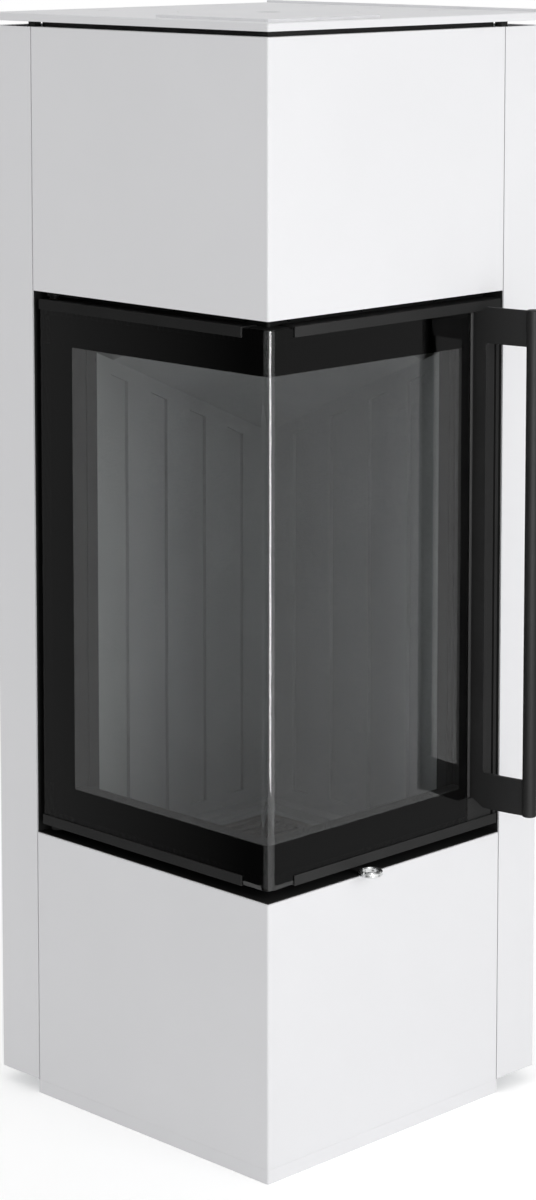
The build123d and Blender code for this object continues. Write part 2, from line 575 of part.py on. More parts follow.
with BuildPart() as lining_left:
    block(WALL_X, LINING_X, -HALF + LINING_START, -LINING_X, CHANNEL_BASE, FIREBOX_ROOF)
    split(bisect_by=baffle_plane(0), keep=Keep.BOTTOM)
    # upright flutes whose tops run parallel to the baffle
    rise = BAFFLE_SLOPE / sqrt(2)
    for index in range(FLUTE_COUNT):
        middle = -HALF + FLUTE_FIRST + index * FLUTE_PITCH
        with BuildSketch(Plane.YZ.offset(LINING_X)) as flute:
            with BuildLine():
                near, far = middle - FLUTE_WIDTH / 2, middle + FLUTE_WIDTH / 2
                top_near = BAFFLE_CORNER_Z - FLUTE_TOP_GAP + rise * (-LINING_X - near)
                top_far = BAFFLE_CORNER_Z - FLUTE_TOP_GAP + rise * (-LINING_X - far)
                Polyline((near, FLUTE_BOTTOM), (far, FLUTE_BOTTOM), (far, top_far), (near, top_near),
                         close=True)
            make_face()
        extrude(amount=-FLUTE_DEPTH, mode=Mode.SUBTRACT)
save(lining_left, "lining_left")

with BuildPart() as lining_rear:
    add(lining_left.part)
    mirror(about=DIAGONAL, mode=Mode.REPLACE)
    block(WALL_X, LINING_X, -LINING_X, -WALL_X, CHANNEL_BASE, FIREBOX_ROOF)
    split(bisect_by=baffle_plane(0), keep=Keep.BOTTOM)
save(lining_rear, "lining_rear")

with BuildPart() as baffle:
    with BuildSketch(Plane.XY.offset(CHANNEL_BASE)):
        with BuildLine():
            near = -HALF + BAFFLE_FRONT
            cut = HALF + BAFFLE_FRONT - BAFFLE_DIAGONAL * sqrt(2)
            Polyline((WALL_X, near), (cut, near), (-near, -cut), (-near, -WALL_X), (WALL_X, -WALL_X),
                     close=True)
        make_face()
    extrude(amount=FIREBOX_ROOF - CHANNEL_BASE)
    split(bisect_by=baffle_plane(0), keep=Keep.TOP)
    split(bisect_by=baffle_plane(BAFFLE * sqrt(1 + BAFFLE_SLOPE ** 2)), keep=Keep.BOTTOM)
save(baffle, "baffle")

# ---- hearth -------------------------------------------------------------------------------

with BuildPart() as air_channel:
    corner_band(FRAME_BACK, CHANNEL_DEPTH - FRAME_BACK, LINING_X, -LINING_X, 0,
                CHANNEL_TOP - CHANNEL_SHEET, CHANNEL_TOP)
    corner_band(CHANNEL_DEPTH - CHANNEL_SHEET, CHANNEL_SHEET, LINING_X, -LINING_X, 0,
                CHANNEL_BASE, CHANNEL_TOP - CHANNEL_SHEET)
save(air_channel, "air_channel")

with BuildPart() as hearth:
    block(LINING_X, HEARTH_TO, -HEARTH_TO, -LINING_X, CHANNEL_BASE, HEARTH_TOP)
    block(LINING_X + HEARTH_LEDGE, HEARTH_TO - HEARTH_LEDGE, -HEARTH_TO + HEARTH_LEDGE,
          -LINING_X - HEARTH_LEDGE, GRATE_TOP, HEARTH_TOP, Mode.SUBTRACT)
    seat = GRATE / 2 + GRATE_CLEARANCE
    block(HEARTH_MID - seat, HEARTH_MID + seat, -HEARTH_MID - seat, -HEARTH_MID + seat,
          GRATE_TOP - GRATE_THICKNESS, GRATE_TOP, Mode.SUBTRACT)
    pit = GRATE / 2 - GRATE_LEDGE
    block(HEARTH_MID - pit, HEARTH_MID + pit, -HEARTH_MID - pit, -HEARTH_MID + pit,
          CHANNEL_BASE, HEARTH_TOP, Mode.SUBTRACT)
save(hearth, "hearth")

with BuildPart() as grate:
    with Locations((HEARTH_MID, -HEARTH_MID, GRATE_TOP - GRATE_THICKNESS)):
        Box(GRATE, GRATE, GRATE_THICKNESS, align=(Align.CENTER, Align.CENTER, Align.MIN))
    with BuildSketch(Plane.XY.offset(GRATE_TOP - GRATE_THICKNESS)) as bars:
        with Locations((HEARTH_MID, -HEARTH_MID)):
            with GridLocations(GRATE / (GRATE_SLOTS + 1), 0, GRATE_SLOTS, 1):
                Rectangle(GRATE_SLOT, GRATE - 4 * GRATE_LEDGE)
    extrude(amount=GRATE_THICKNESS, mode=Mode.SUBTRACT)
save(grate, "grate")

with BuildPart() as ash_pit:
    half_pit = ASH_PIT_OUTER / 2
    block(HEARTH_MID - half_pit, HEARTH_MID + half_pit, -HEARTH_MID - half_pit, -HEARTH_MID + half_pit,
          FIREBOX_FLOOR - ASH_PIT_DEPTH, FIREBOX_FLOOR)
    offset(amount=-ASH_SHEET, openings=ash_pit.faces().sort_by(Axis.Z)[-1])
save(ash_pit, "ash_pit")

with BuildPart() as ash_pan:
    half_pan = ASH_PIT_OUTER / 2 - ASH_SHEET - PAN_CLEARANCE
    base = FIREBOX_FLOOR - ASH_PIT_DEPTH + ASH_SHEET
    block(HEARTH_MID - half_pan, HEARTH_MID + half_pan, -HEARTH_MID - half_pan, -HEARTH_MID + half_pan,
          base, base + PAN_HEIGHT)
    offset(amount=-PAN_SHEET, openings=ash_pan.faces().sort_by(Axis.Z)[-1])
save(ash_pan, "ash_pan")

# ---- air supply ---------------------------------------------------------------------------

AIR_BOX_LEFT = AIR_BOX_RIGHT - AIR_BOX_WIDTH
AIR_BOX_BASE = FIREBOX_FLOOR - AIR_BOX_DEPTH


def air_box_outline(inset, z0, z1, mode):
    """Add the air box outline: a narrow front part and a wide part for the round inlet."""
    block(AIR_BOX_LEFT + inset, AIR_BOX_RIGHT - inset, -HALF + AIR_BOX_START + inset,
          AIR_BOX_BACK - inset, z0, z1, mode)
    block(AIR_BOX_RIGHT - AIR_BOX_WIDE + inset, AIR_BOX_RIGHT - inset, -HALF + AIR_BOX_TURN + inset,
          AIR_BOX_BACK - inset, z0, z1, mode)


with BuildPart() as air_box:
    air_box_outline(0, AIR_BOX_BASE, FIREBOX_FLOOR, Mode.ADD)
    air_box_outline(AIR_SHEET, AIR_BOX_BASE + AIR_SHEET, FIREBOX_FLOOR, Mode.SUBTRACT)
    lying_disc(INLET_X, INLET_Z, AIR_BOX_BACK - 2 * AIR_SHEET, AIR_BOX_BACK,
               INLET_RADIUS - INLET_WALL, Mode.SUBTRACT)
save(air_box, "air_box")

with BuildPart() as air_inlet_spigot:
    lying_disc(INLET_X, INLET_Z, AIR_BOX_BACK, HALF + FLUE_REACH, INLET_RADIUS)
    lying_disc(INLET_X, INLET_Z, AIR_BOX_BACK, HALF + FLUE_REACH, INLET_RADIUS - INLET_WALL,
               Mode.SUBTRACT)
save(air_inlet_spigot, "air_inlet_spigot")

with BuildPart() as air_wash_duct:
    corner_band(FRAME_BACK, DUCT_DEPTH, LINING_X, -LINING_X, 0, FIREBOX_ROOF - DUCT_HEIGHT, FIREBOX_ROOF)
    corner_band(FRAME_BACK, DUCT_DEPTH - CHANNEL_SHEET, LINING_X - CHANNEL_SHEET,
                -LINING_X + CHANNEL_SHEET, 0, FIREBOX_ROOF - DUCT_HEIGHT + CHANNEL_SHEET,
                FIREBOX_ROOF, Mode.SUBTRACT)
    # slot that lets the air fall along the glass
    corner_band(FRAME_BACK, DUCT_SLOT, LINING_X + DUCT_SLOT_END, -LINING_X - DUCT_SLOT_END, 0,
                FIREBOX_ROOF - DUCT_HEIGHT, FIREBOX_ROOF - DUCT_HEIGHT + CHANNEL_SHEET, Mode.SUBTRACT)
save(air_wash_duct, "air_wash_duct")

LINK_X = DAMPER_X + DAMPER_WIDTH - LEVER_WIDTH

with BuildPart() as lever_rod:
    block(LINK_X, HALF + RING_REACH - RING_INNER - 1, LEVER_Y - LEVER_WIDTH / 2, LEVER_Y + LEVER_WIDTH / 2,
          LEVER_Z - LEVER_THICKNESS / 2, LEVER_Z + LEVER_THICKNESS / 2)
    block(LINK_X, LINK_X + LEVER_THICKNESS, LEVER_Y - LEVER_WIDTH / 2, LEVER_Y + LEVER_WIDTH / 2,
          CHANNEL_BASE + DAMPER_SHEET, LEVER_Z + LEVER_THICKNESS / 2)
    disc(HALF + RING_REACH, LEVER_Y, LEVER_Z - RING_THICKNESS, LEVER_Z + RING_THICKNESS, RING_OUTER,
         Mode.SUBTRACT)
save(lever_rod, "lever_rod")

with BuildPart() as lever_ring:
    disc(HALF + RING_REACH, LEVER_Y, LEVER_Z - RING_THICKNESS / 2, LEVER_Z + RING_THICKNESS / 2,
         RING_OUTER)
    disc(HALF + RING_REACH, LEVER_Y, LEVER_Z - RING_THICKNESS / 2, LEVER_Z + RING_THICKNESS / 2,
         RING_INNER, Mode.SUBTRACT)
    chamfer(lever_ring.edges().filter_by(GeomType.CIRCLE), RING_EASE)
save(lever_ring, "lever_ring")

with BuildPart() as air_damper:
    block(DAMPER_X, DAMPER_X + DAMPER_WIDTH, LEVER_Y - DAMPER_LENGTH / 2, LEVER_Y + DAMPER_LENGTH / 2,
          CHANNEL_BASE, CHANNEL_BASE + DAMPER_SHEET)
save(air_damper, "air_damper")

# ---- flue ---------------------------------------------------------------------------------

with BuildPart() as flue_barrel:
    disc(0, 0, FRAME_TOP, FLUE_TOP, FLUE_RADIUS)
    disc(0, 0, FRAME_TOP, FLUE_TOP, FLUE_RADIUS - FLUE_WALL, Mode.SUBTRACT)
    lying_disc(0, FLUE_Z, 0, FLUE_BRANCH, FLUE_RADIUS - FLUE_WALL, Mode.SUBTRACT)
save(flue_barrel, "flue_barrel")

with BuildPart() as flue_branch:
    lying_disc(0, FLUE_Z, 0, FLUE_BRANCH, FLUE_RADIUS)
    lying_disc(0, FLUE_Z, 0, FLUE_BRANCH, FLUE_RADIUS - FLUE_WALL, Mode.SUBTRACT)
    disc(0, 0, FRAME_TOP, FLUE_TOP, FLUE_RADIUS, Mode.SUBTRACT)
save(flue_branch, "flue_branch")

with BuildPart() as flue_spigot:
    lying_disc(0, FLUE_Z, FLUE_BRANCH, HALF + FLUE_REACH, FLUE_RADIUS)
    lying_disc(0, FLUE_Z, FLUE_BRANCH, HALF, FLUE_RADIUS + FLUE_COLLAR)
    lying_disc(0, FLUE_Z, FLUE_BRANCH, HALF + FLUE_REACH, FLUE_RADIUS - FLUE_WALL, Mode.SUBTRACT)
save(flue_spigot, "flue_spigot")

with BuildPart() as flue_cap:
    disc(0, 0, FLUE_TOP - CAP_LIP, FLUE_TOP + CAP_SHEET, FLUE_RADIUS + CAP_SHEET)
    disc(0, 0, FLUE_TOP - CAP_LIP, FLUE_TOP, FLUE_RADIUS, Mode.SUBTRACT)
save(flue_cap, "flue_cap")

# ---- door ---------------------------------------------------------------------------------

GLASS_LEFT = DOOR_LEFT + GLASS_END_GAP
GLASS_RIGHT = LATCH_EDGE - GLASS_END_GAP
GLASS_BOTTOM = RAIL_BOTTOM
GLASS_TOP = RAIL_TOP

with BuildPart() as door_glass:
    corner_band(GLASS_BACKSET, GLASS, GLASS_LEFT, GLASS_RIGHT, GLASS_BEND, GLASS_BOTTOM, GLASS_TOP)
save(door_glass, "door_glass")

RAIL_LEFT = DOOR_LEFT + STILE_WIDTH
RAIL_RIGHT = LATCH_EDGE - TUBE_WALL


def door_rail(z0, z1):
    """Add one hollow rail of the door frame, bent round the corner."""
    corner_band(RAIL_FACE, RAIL_DEPTH, RAIL_LEFT, RAIL_RIGHT, GLASS_BEND - GLASS, z0, z1)
    corner_band(RAIL_FACE + TUBE_WALL, RAIL_DEPTH - 2 * TUBE_WALL, RAIL_LEFT, RAIL_RIGHT, 0,
                z0 + TUBE_WALL, z1 - TUBE_WALL, Mode.SUBTRACT)


with BuildPart() as door_bottom_rail:
    door_rail(RAIL_BOTTOM, RAIL_BOTTOM + RAIL_HEIGHT)
save(door_bottom_rail, "door_bottom_rail")

with BuildPart() as door_top_rail:
    door_rail(RAIL_TOP - RAIL_HEIGHT, RAIL_TOP)
save(door_top_rail, "door_top_rail")

with BuildPart() as hinge_stile:
    face, back = -HALF + RAIL_FACE, -HALF + RAIL_BACK
    block(DOOR_LEFT, RAIL_LEFT, face, back, RAIL_BOTTOM, RAIL_TOP)
    block(DOOR_LEFT + TUBE_WALL, RAIL_LEFT - TUBE_WALL, face + TUBE_WALL, back - TUBE_WALL,
          RAIL_BOTTOM + BUSH_LENGTH, RAIL_TOP - BUSH_LENGTH, Mode.SUBTRACT)
    disc(HINGE_X, HINGE_Y, RAIL_BOTTOM, RAIL_TOP, BUSH_RADIUS, Mode.SUBTRACT)
save(hinge_stile, "hinge_stile")

with BuildPart() as latch_stile:
    back = HALF - RAIL_BACK
    channel = BARREL_X - BARREL_RADIUS - BARREL_GAP
    shoulder = BARREL_Y + BARREL_RADIUS + BARREL_GAP
    with BuildSketch(Plane.XY.offset(RAIL_BOTTOM)) as profile:
        with BuildLine():
            Polyline((back, RAIL_RIGHT), (channel, RAIL_RIGHT), (channel, shoulder),
                     (HALF - GLASS_BACKSET, shoulder), (HALF - GLASS_BACKSET, DOOR_RIGHT),
                     (back, DOOR_RIGHT), close=True)
        make_face()
    extrude(amount=RAIL_TOP - RAIL_BOTTOM)
    # hollow outer half, and a groove that leaves a narrow flange at the door's end
    groove = DOOR_RIGHT - GROOVE_EDGE - GROOVE_WIDTH
    block(back + TUBE_WALL, HALF - GLASS_BACKSET - TUBE_WALL, shoulder + TUBE_WALL, groove - TUBE_WALL,
          RAIL_BOTTOM + TUBE_WALL, RAIL_TOP - TUBE_WALL, Mode.SUBTRACT)
    block(HALF - GLASS_BACKSET - GROOVE_DEPTH, HALF, groove, groove + GROOVE_WIDTH, RAIL_BOTTOM, RAIL_TOP,
          Mode.SUBTRACT)
    # bearing blocks above and below the barrel
    for low, high in ((RAIL_BOTTOM, SPINE_BOTTOM - BARREL_GAP), (SPINE_TOP + BARREL_GAP, RAIL_TOP)):
        block(channel, HALF - GLASS_BACKSET, LATCH_EDGE, shoulder, low, high)
    disc(BARREL_X, BARREL_Y, SPINE_BOTTOM - BARREL_PIN_LENGTH - 1, SPINE_TOP + BARREL_PIN_LENGTH + 1,
         BARREL_PIN + PIN_CLEARANCE, Mode.SUBTRACT)
    for level in HOOK_LEVELS:
        reach = HOOK_SHEET / 2 + HOOK_CLEARANCE
        block(back, BARREL_X, BARREL_Y - HOOK_RUN, BARREL_Y + HOOK_SIDE, level - reach, level + reach,
              Mode.SUBTRACT)
save(latch_stile, "latch_stile")


def clamp_strip(x0, x1, low):
    """Add one angle strip on the left face; low is true for the strip under the glass."""
    z0, z1 = (DOOR_BOTTOM, DOOR_BOTTOM + CLAMP_HEIGHT) if low else (DOOR_TOP - CLAMP_HEIGHT, DOOR_TOP)
    foot = DOOR_BOTTOM if low else DOOR_TOP - CLAMP_SHEET
    block(x0, x1, -HALF, -HALF + GLASS_BACKSET, z0, z1)
    block(x0, x1, -HALF, -HALF + RAIL_BACK, foot, foot + CLAMP_SHEET)


def clamp_pair(low):
    """Add the strips of both faces, with the hole for the hinge bush in the left one."""
    clamp_strip(-DOOR_RIGHT, CLAMP_LEFT, low)
    mirror(about=DIAGONAL, mode=Mode.REPLACE)
    clamp_strip(DOOR_LEFT, CLAMP_LEFT, low)
    disc(HINGE_X, HINGE_Y, DOOR_BOTTOM, DOOR_TOP, BUSH_RADIUS, Mode.SUBTRACT)


with BuildPart() as clamp_bottom:
    clamp_pair(True)
save(clamp_bottom, "clamp_bottom")

with BuildPart() as clamp_top:
    clamp_pair(False)
save(clamp_top, "clamp_top")

with BuildPart() as glass_tape:
    tape = GLASS_BACKSET + GLASS
    for z0 in (RAIL_BOTTOM + 1, RAIL_TOP - TAPE_WIDTH - 1):
        corner_band(tape, TAPE, GLASS_LEFT, GLASS_RIGHT, GLASS_BEND - GLASS, z0, z0 + TAPE_WIDTH)
    block(GLASS_LEFT, GLASS_LEFT + TAPE_WIDTH, -HALF + tape, -HALF + tape + TAPE, RAIL_BOTTOM + 1,
          RAIL_TOP - 1)
save(glass_tape, "glass_tape")

SEAL_STAND = DOOR_DEPTH + FRAME_GAP - SEAL_PRESS
SEAL_LEFT = LINING_X - SEAL_OUT - SEAL_WIDTH


def seal_ring(depth, thickness, grow):
    """Add a band round the opening on the back of the door, wider by grow on each side."""
    left, right = SEAL_LEFT - grow, -SEAL_LEFT + grow
    low, high = OPENING_BOTTOM - SEAL_OUT - SEAL_WIDTH, OPENING_TOP + SEAL_OUT
    for z0 in (low, high):
        corner_band(depth, thickness, left, right, 0, z0 - grow, z0 + SEAL_WIDTH + grow)
    width = SEAL_WIDTH + 2 * grow
    block(left, left + width, -HALF + depth, -HALF + depth + thickness, low, high)
    block(HALF - depth - thickness, HALF - depth, right - width, right, low, high)


with BuildPart() as door_seal:
    seal_ring(RAIL_BACK + CHANNEL_SHEET / 2, SEAL_STAND - RAIL_BACK - CHANNEL_SHEET / 2, 0)
save(door_seal, "door_seal")

with BuildPart() as seal_channel:
    seal_ring(RAIL_BACK, DOOR_DEPTH - RAIL_BACK - 1, CHANNEL_SHEET / 2)
    add(door_seal.part, mode=Mode.SUBTRACT)
save(seal_channel, "seal_channel")

with BuildPart() as hinge_bushes:
    for low, high in ((DOOR_BOTTOM, DOOR_BOTTOM + BUSH_LENGTH), (DOOR_TOP - BUSH_LENGTH, DOOR_TOP)):
        disc(HINGE_X, HINGE_Y, low, high, BUSH_RADIUS)
    disc(HINGE_X, HINGE_Y, DOOR_BOTTOM, DOOR_TOP, PIN_RADIUS + PIN_CLEARANCE, Mode.SUBTRACT)
save(hinge_bushes, "hinge_bushes")

# ---- hinge brackets on the frame ----------------------------------------------------------


def hinge_bracket(z0, pin_to, upright_to):
    """Add a bracket plate at z0, its pin up or down to pin_to, and its upright leg."""
    left, right = HINGE_X - BRACKET_RADIUS, LINING_X
    block(left, right, HINGE_Y, -FRAME_OUT, z0, z0 + HINGE_PLATE)
    disc(HINGE_X, HINGE_Y, z0, z0 + HINGE_PLATE, BRACKET_RADIUS)
    leg = sorted((z0 + HINGE_PLATE / 2, upright_to))
    block(left, right, -FRAME_OUT - HINGE_PLATE, -FRAME_OUT, leg[0], leg[1])
    reach = sorted((z0 + HINGE_PLATE / 2, pin_to))
    disc(HINGE_X, HINGE_Y, reach[0], reach[1], PIN_RADIUS)


HINGE_LOW = DOOR_BOTTOM - HINGE_WASHER - HINGE_PLATE
HINGE_HIGH = DOOR_TOP + HINGE_WASHER

with BuildPart() as hinge_brackets:
    hinge_bracket(HINGE_LOW, DOOR_BOTTOM + BUSH_LENGTH - PIN_SHORT, HINGE_LOW - HINGE_LEAF)
    hinge_bracket(HINGE_HIGH, DOOR_TOP - BUSH_LENGTH + PIN_SHORT, HINGE_HIGH + HINGE_LEAF)
    # the door's lower bush stands on this washer
    disc(HINGE_X, HINGE_Y, HINGE_LOW + HINGE_PLATE, DOOR_BOTTOM, BUSH_RADIUS)
save(hinge_brackets, "hinge_brackets")

# ---- handle -------------------------------------------------------------------------------

with BuildPart() as handle_barrel:
    disc(BARREL_X, BARREL_Y, SPINE_BOTTOM, SPINE_TOP, BARREL_RADIUS)
    disc(BARREL_X, BARREL_Y, SPINE_BOTTOM - BARREL_PIN_LENGTH, SPINE_TOP + BARREL_PIN_LENGTH, BARREL_PIN)
save(handle_barrel, "handle_barrel")

ARM_BOTTOM = SPINE_BOTTOM - ARM_FLARE
ARM_TOP = SPINE_TOP + ARM_FLARE
SPINE_X = HALF + SPINE_STRAIGHT

with BuildPart() as handle_plate:
    with BuildSketch(Plane.XY.offset(ARM_BOTTOM)):
        with BuildLine():
            root = Line((BARREL_X, BARREL_Y), (SPINE_X, BARREL_Y))
            TangentArc([root @ 1, (BAR_X, BAR_Y)], tangent=(1, 0))
        trace(line_width=HANDLE_SHEET)
    extrude(amount=ARM_TOP - ARM_BOTTOM)
    # side view: arms flare past the spine, with a rounded window between spine and bar
    with BuildSketch(Plane.XZ.offset(-BAR_Y - BAR_REACH)) as side_view:
        with BuildLine():
            flare = HALF + SPINE_REACH
            Polyline((BARREL_X, SPINE_BOTTOM), (SPINE_X, SPINE_BOTTOM), (flare, ARM_BOTTOM),
                     (BAR_X, ARM_BOTTOM), (BAR_X, ARM_TOP), (flare, ARM_TOP), (SPINE_X, SPINE_TOP),
                     (BARREL_X, SPINE_TOP), close=True)
        make_face()
        with Locations((flare, ARM_BOTTOM + ARM_HEIGHT)):
            RectangleRounded(2 * BAR_REACH, ARM_TOP - ARM_BOTTOM - 2 * ARM_HEIGHT, WINDOW_ROUND,
                             align=(Align.MIN, Align.MIN), mode=Mode.SUBTRACT)
    extrude(amount=2 * BAR_REACH, mode=Mode.INTERSECT)
    disc(BARREL_X, BARREL_Y, ARM_BOTTOM, ARM_TOP, BARREL_RADIUS, Mode.SUBTRACT)
    disc(BAR_X, BAR_Y, ARM_BOTTOM, ARM_TOP, BAR_RADIUS, Mode.SUBTRACT)
save(handle_plate, "handle_plate")

with BuildPart() as handle_bar:
    disc(BAR_X, BAR_Y, ARM_BOTTOM, ARM_TOP + BAR_RISE, BAR_RADIUS)
    chamfer(handle_bar.edges().filter_by(GeomType.CIRCLE), BAR_EASE)
save(handle_bar, "handle_bar")

with BuildPart() as latch_hooks:
    for level in HOOK_LEVELS:
        with BuildSketch(Plane.XY.offset(level - HOOK_SHEET / 2)):
            half = HOOK_WIDTH / 2
            nose = BARREL_X - HOOK_REACH
            with BuildLine():
                Polyline((BARREL_X, BARREL_Y - half), (BARREL_X, BARREL_Y + half),
                         (nose, BARREL_Y + HOOK_SIDE + half - 1), (nose, BARREL_Y + HOOK_TIP),
                         (nose - HOOK_NOSE, BARREL_Y + HOOK_TIP),
                         (nose - HOOK_NOSE, BARREL_Y + HOOK_SIDE - half), (nose, BARREL_Y + HOOK_SIDE - half),
                         close=True)
            make_face()
        extrude(amount=HOOK_SHEET)
    disc(BARREL_X, BARREL_Y, SPINE_BOTTOM, SPINE_TOP, BARREL_RADIUS, Mode.SUBTRACT)
save(latch_hooks, "latch_hooks")
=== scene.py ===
"""Finishes, trim and studio for a corner-glass wood stove. Metres, +Z up, origin on the floor."""

import json
import math

import bmesh
import bpy
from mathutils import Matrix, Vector


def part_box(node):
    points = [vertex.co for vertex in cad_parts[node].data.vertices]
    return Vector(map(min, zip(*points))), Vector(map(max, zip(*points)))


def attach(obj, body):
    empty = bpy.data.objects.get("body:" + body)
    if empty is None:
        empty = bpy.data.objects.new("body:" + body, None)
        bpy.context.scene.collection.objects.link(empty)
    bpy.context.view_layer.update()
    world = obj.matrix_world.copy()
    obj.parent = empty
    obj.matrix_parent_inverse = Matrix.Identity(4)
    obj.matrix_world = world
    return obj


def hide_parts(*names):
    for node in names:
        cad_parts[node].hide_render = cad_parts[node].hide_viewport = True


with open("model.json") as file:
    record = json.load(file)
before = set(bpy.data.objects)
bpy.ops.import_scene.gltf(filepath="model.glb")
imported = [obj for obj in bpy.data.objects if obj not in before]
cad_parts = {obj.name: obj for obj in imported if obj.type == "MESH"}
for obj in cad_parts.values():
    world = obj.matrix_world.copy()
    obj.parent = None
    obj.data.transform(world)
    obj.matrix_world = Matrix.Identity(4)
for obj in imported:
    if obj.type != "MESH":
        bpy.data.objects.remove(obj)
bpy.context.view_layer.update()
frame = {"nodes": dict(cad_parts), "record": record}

MM = 0.001

# ---- places read from the frame ------------------------------------------------------------

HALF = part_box("rear_panel")[1].x              # half the side of the square casing
GLASS_LOW, GLASS_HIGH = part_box("door_glass")
TAPE_LOW, TAPE_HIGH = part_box("glass_tape")
SEAL_LOW, SEAL_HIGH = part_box("door_seal")
DOOR_GAP_TOP = (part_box("clamp_top")[1].z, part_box("upper_front_panel")[0].z)
DOOR_GAP_LOW = (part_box("lower_front_panel")[1].z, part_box("clamp_bottom")[0].z)
OPENING_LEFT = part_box("left_side_panel")[1].x       # the door opening ends at the side panels
OPENING_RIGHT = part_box("rear_panel")[0].y
FRAME_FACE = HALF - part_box("frame_top_rail")[1].x   # fixed frame behind the casing face
GLASS_FACE = HALF - GLASS_HIGH.x                    # glass behind the casing face
REAR_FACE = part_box("rear_panel")[1].y
PLINTH_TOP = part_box("rear_panel")[0].z
CASING_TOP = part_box("rear_panel")[1].z
FLUE_AXIS_Z = (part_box("flue_spigot")[0].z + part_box("flue_spigot")[1].z) / 2

# ---- sizes of the trim ---------------------------------------------------------------------

GLASS = 4.0 * MM
GLASS_BEND = 10.0 * MM                        # outer radius of the bend in the glass
PRINT_FILM = 0.15 * MM
PRINT_HIGH = 49.5 * MM                        # printed band above and below the clear window
PRINT_LEFT = 51.5 * MM
PRINT_RIGHT = 12.5 * MM
PRINT_BEND_STEPS = 12
SEAL_BEND = 6.0 * MM
SEAL_TURN = 12.0 * MM                         # rope turns this tight in the corners of its channel
ROPE_WIDTH = 7.0 * MM
ROPE_DEPTH = 5.2 * MM                         # pressed a little flat against the fixed frame
ROPE_STRANDS = 4
ROPE_LAY = 26.0 * MM                          # a strand takes its neighbour's place in this length
ROPE_STEP = 2.6 * MM                          # length of rope from one ring of points to the next
ROPE_TURN_STEPS = 8
ROPE_SIDES = 16
ROPE_SWELL = 0.10                             # grooves are twice this share of the radius deep
TAPE_WIDTH = 15.0 * MM
TAPE_BACK = 1.0 * MM                          # back of the tape, behind the back of the glass
TAPE_ROUND_ACROSS = 0.03                      # its edges are rounded over this share of its width
TAPE_ROUND_DEEP = 0.25                        # and over this share of its thickness
TAPE_BEND_STEPS = 10
PANEL_SHEET = 2.0 * MM
# thickness of the black sheet of painted shade that lines the door opening
SHADE_SHEET = 0.8 * MM
SCREW_RADIUS = 3.4 * MM
SCREW_RISE = 1.9 * MM
SCREW_SIDES = 24
LEFT_GAP_SCREWS = (-68 * MM, 45 * MM, 158 * MM)     # above the door, along the left face
RIGHT_GAP_SCREWS = (-160 * MM, -45 * MM, 74 * MM)   # above the door, along the right face
HIGH_SCREW_DROP = 1.0 * MM                          # below the middle of the gap above the door
LOW_SCREW_LEFT = -122 * MM                          # below the door, one on each face
LOW_SCREW_RIGHT = 136 * MM
REAR_SCREW_INSET = 16.0 * MM                  # from the sides of the rear panel
REAR_SCREW_END = 40.0 * MM                    # from its top and from its foot
REAR_SCREW_LEVELS = 6
FLUE_SCREW_CIRCLE = 92.0 * MM                 # radius of the circle of screws round the flue hole

# ---- painted shade on the fireclay ---------------------------------------------------------

PAINTED_LIGHT_DEPTH = 45.0 * MM                        # nearer to the left pane than this no painted shade darkens it
FULL_SHADE_DEPTH = 200.0 * MM                       # further from the left pane than this its painted shade is full
RIGHT_SHADE_REACH = 70.0 * MM                       # the painted shade comes this much nearer to the right pane
# how far each of these, at its most, moves the tint along its ramp from pale to dark
FULL_PAINTED_SHADE = 0.62
SMOKE_CLOUDS = 0.30
GROG_SPECKS = 0.08


# ---- materials -----------------------------------------------------------------------------

def linear(hex_colour):
    """Turn an sRGB hex value into a linear colour with an alpha of one."""
    channels = [int(hex_colour[i:i + 2], 16) / 255 for i in (1, 3, 5)]
    return [c / 12.92 if c <= 0.04045 else ((c + 0.055) / 1.055) ** 2.4 for c in channels] + [1.0]


WAVE_RADIANS = 20.0           # a wave texture turns this far in one unit of its scale


def pattern_scale(size_mm):
    """Scale of a texture, in object metres, whose features measure size_mm."""
    return 1000.0 / size_mm


def add_node(tree, kind, settings=None, links=None):
    """Add one node, give it its settings and link its inputs."""
    made = tree.nodes.new(kind)
    for key, value in (settings or {}).items():
        if isinstance(key, int) or key in made.inputs:
            made.inputs[key].default_value = value
        else:
            setattr(made, key, value)
    for key, source in (links or {}).items():
        tree.links.new(source, made.inputs[key])
    return made


def start_tree(owner):
    """Switch on the nodes of a material or a world and return its tree, emptied."""
    owner.use_nodes = True
    owner.node_tree.nodes.clear()
    return owner.node_tree


def new_material(name, shader_settings):
    """Start a material with its shader; returns the material, its tree and the shader."""
    material = bpy.data.materials.new(name)
    tree = start_tree(material)
    shader = add_node(tree, "ShaderNodeBsdfPrincipled", shader_settings)
    add_node(tree, "ShaderNodeOutputMaterial", links={"Surface": shader.outputs["BSDF"]})
    return material, tree, shader


def set_ramp(ramp, stops):
    """Give a colour ramp its stops, as pairs of place and linear colour."""
    while len(ramp.color_ramp.elements) < len(stops):
        ramp.color_ramp.elements.new(0.5)
    for element, (place, colour) in zip(ramp.color_ramp.elements, stops):
        element.position = place
        element.color = colour


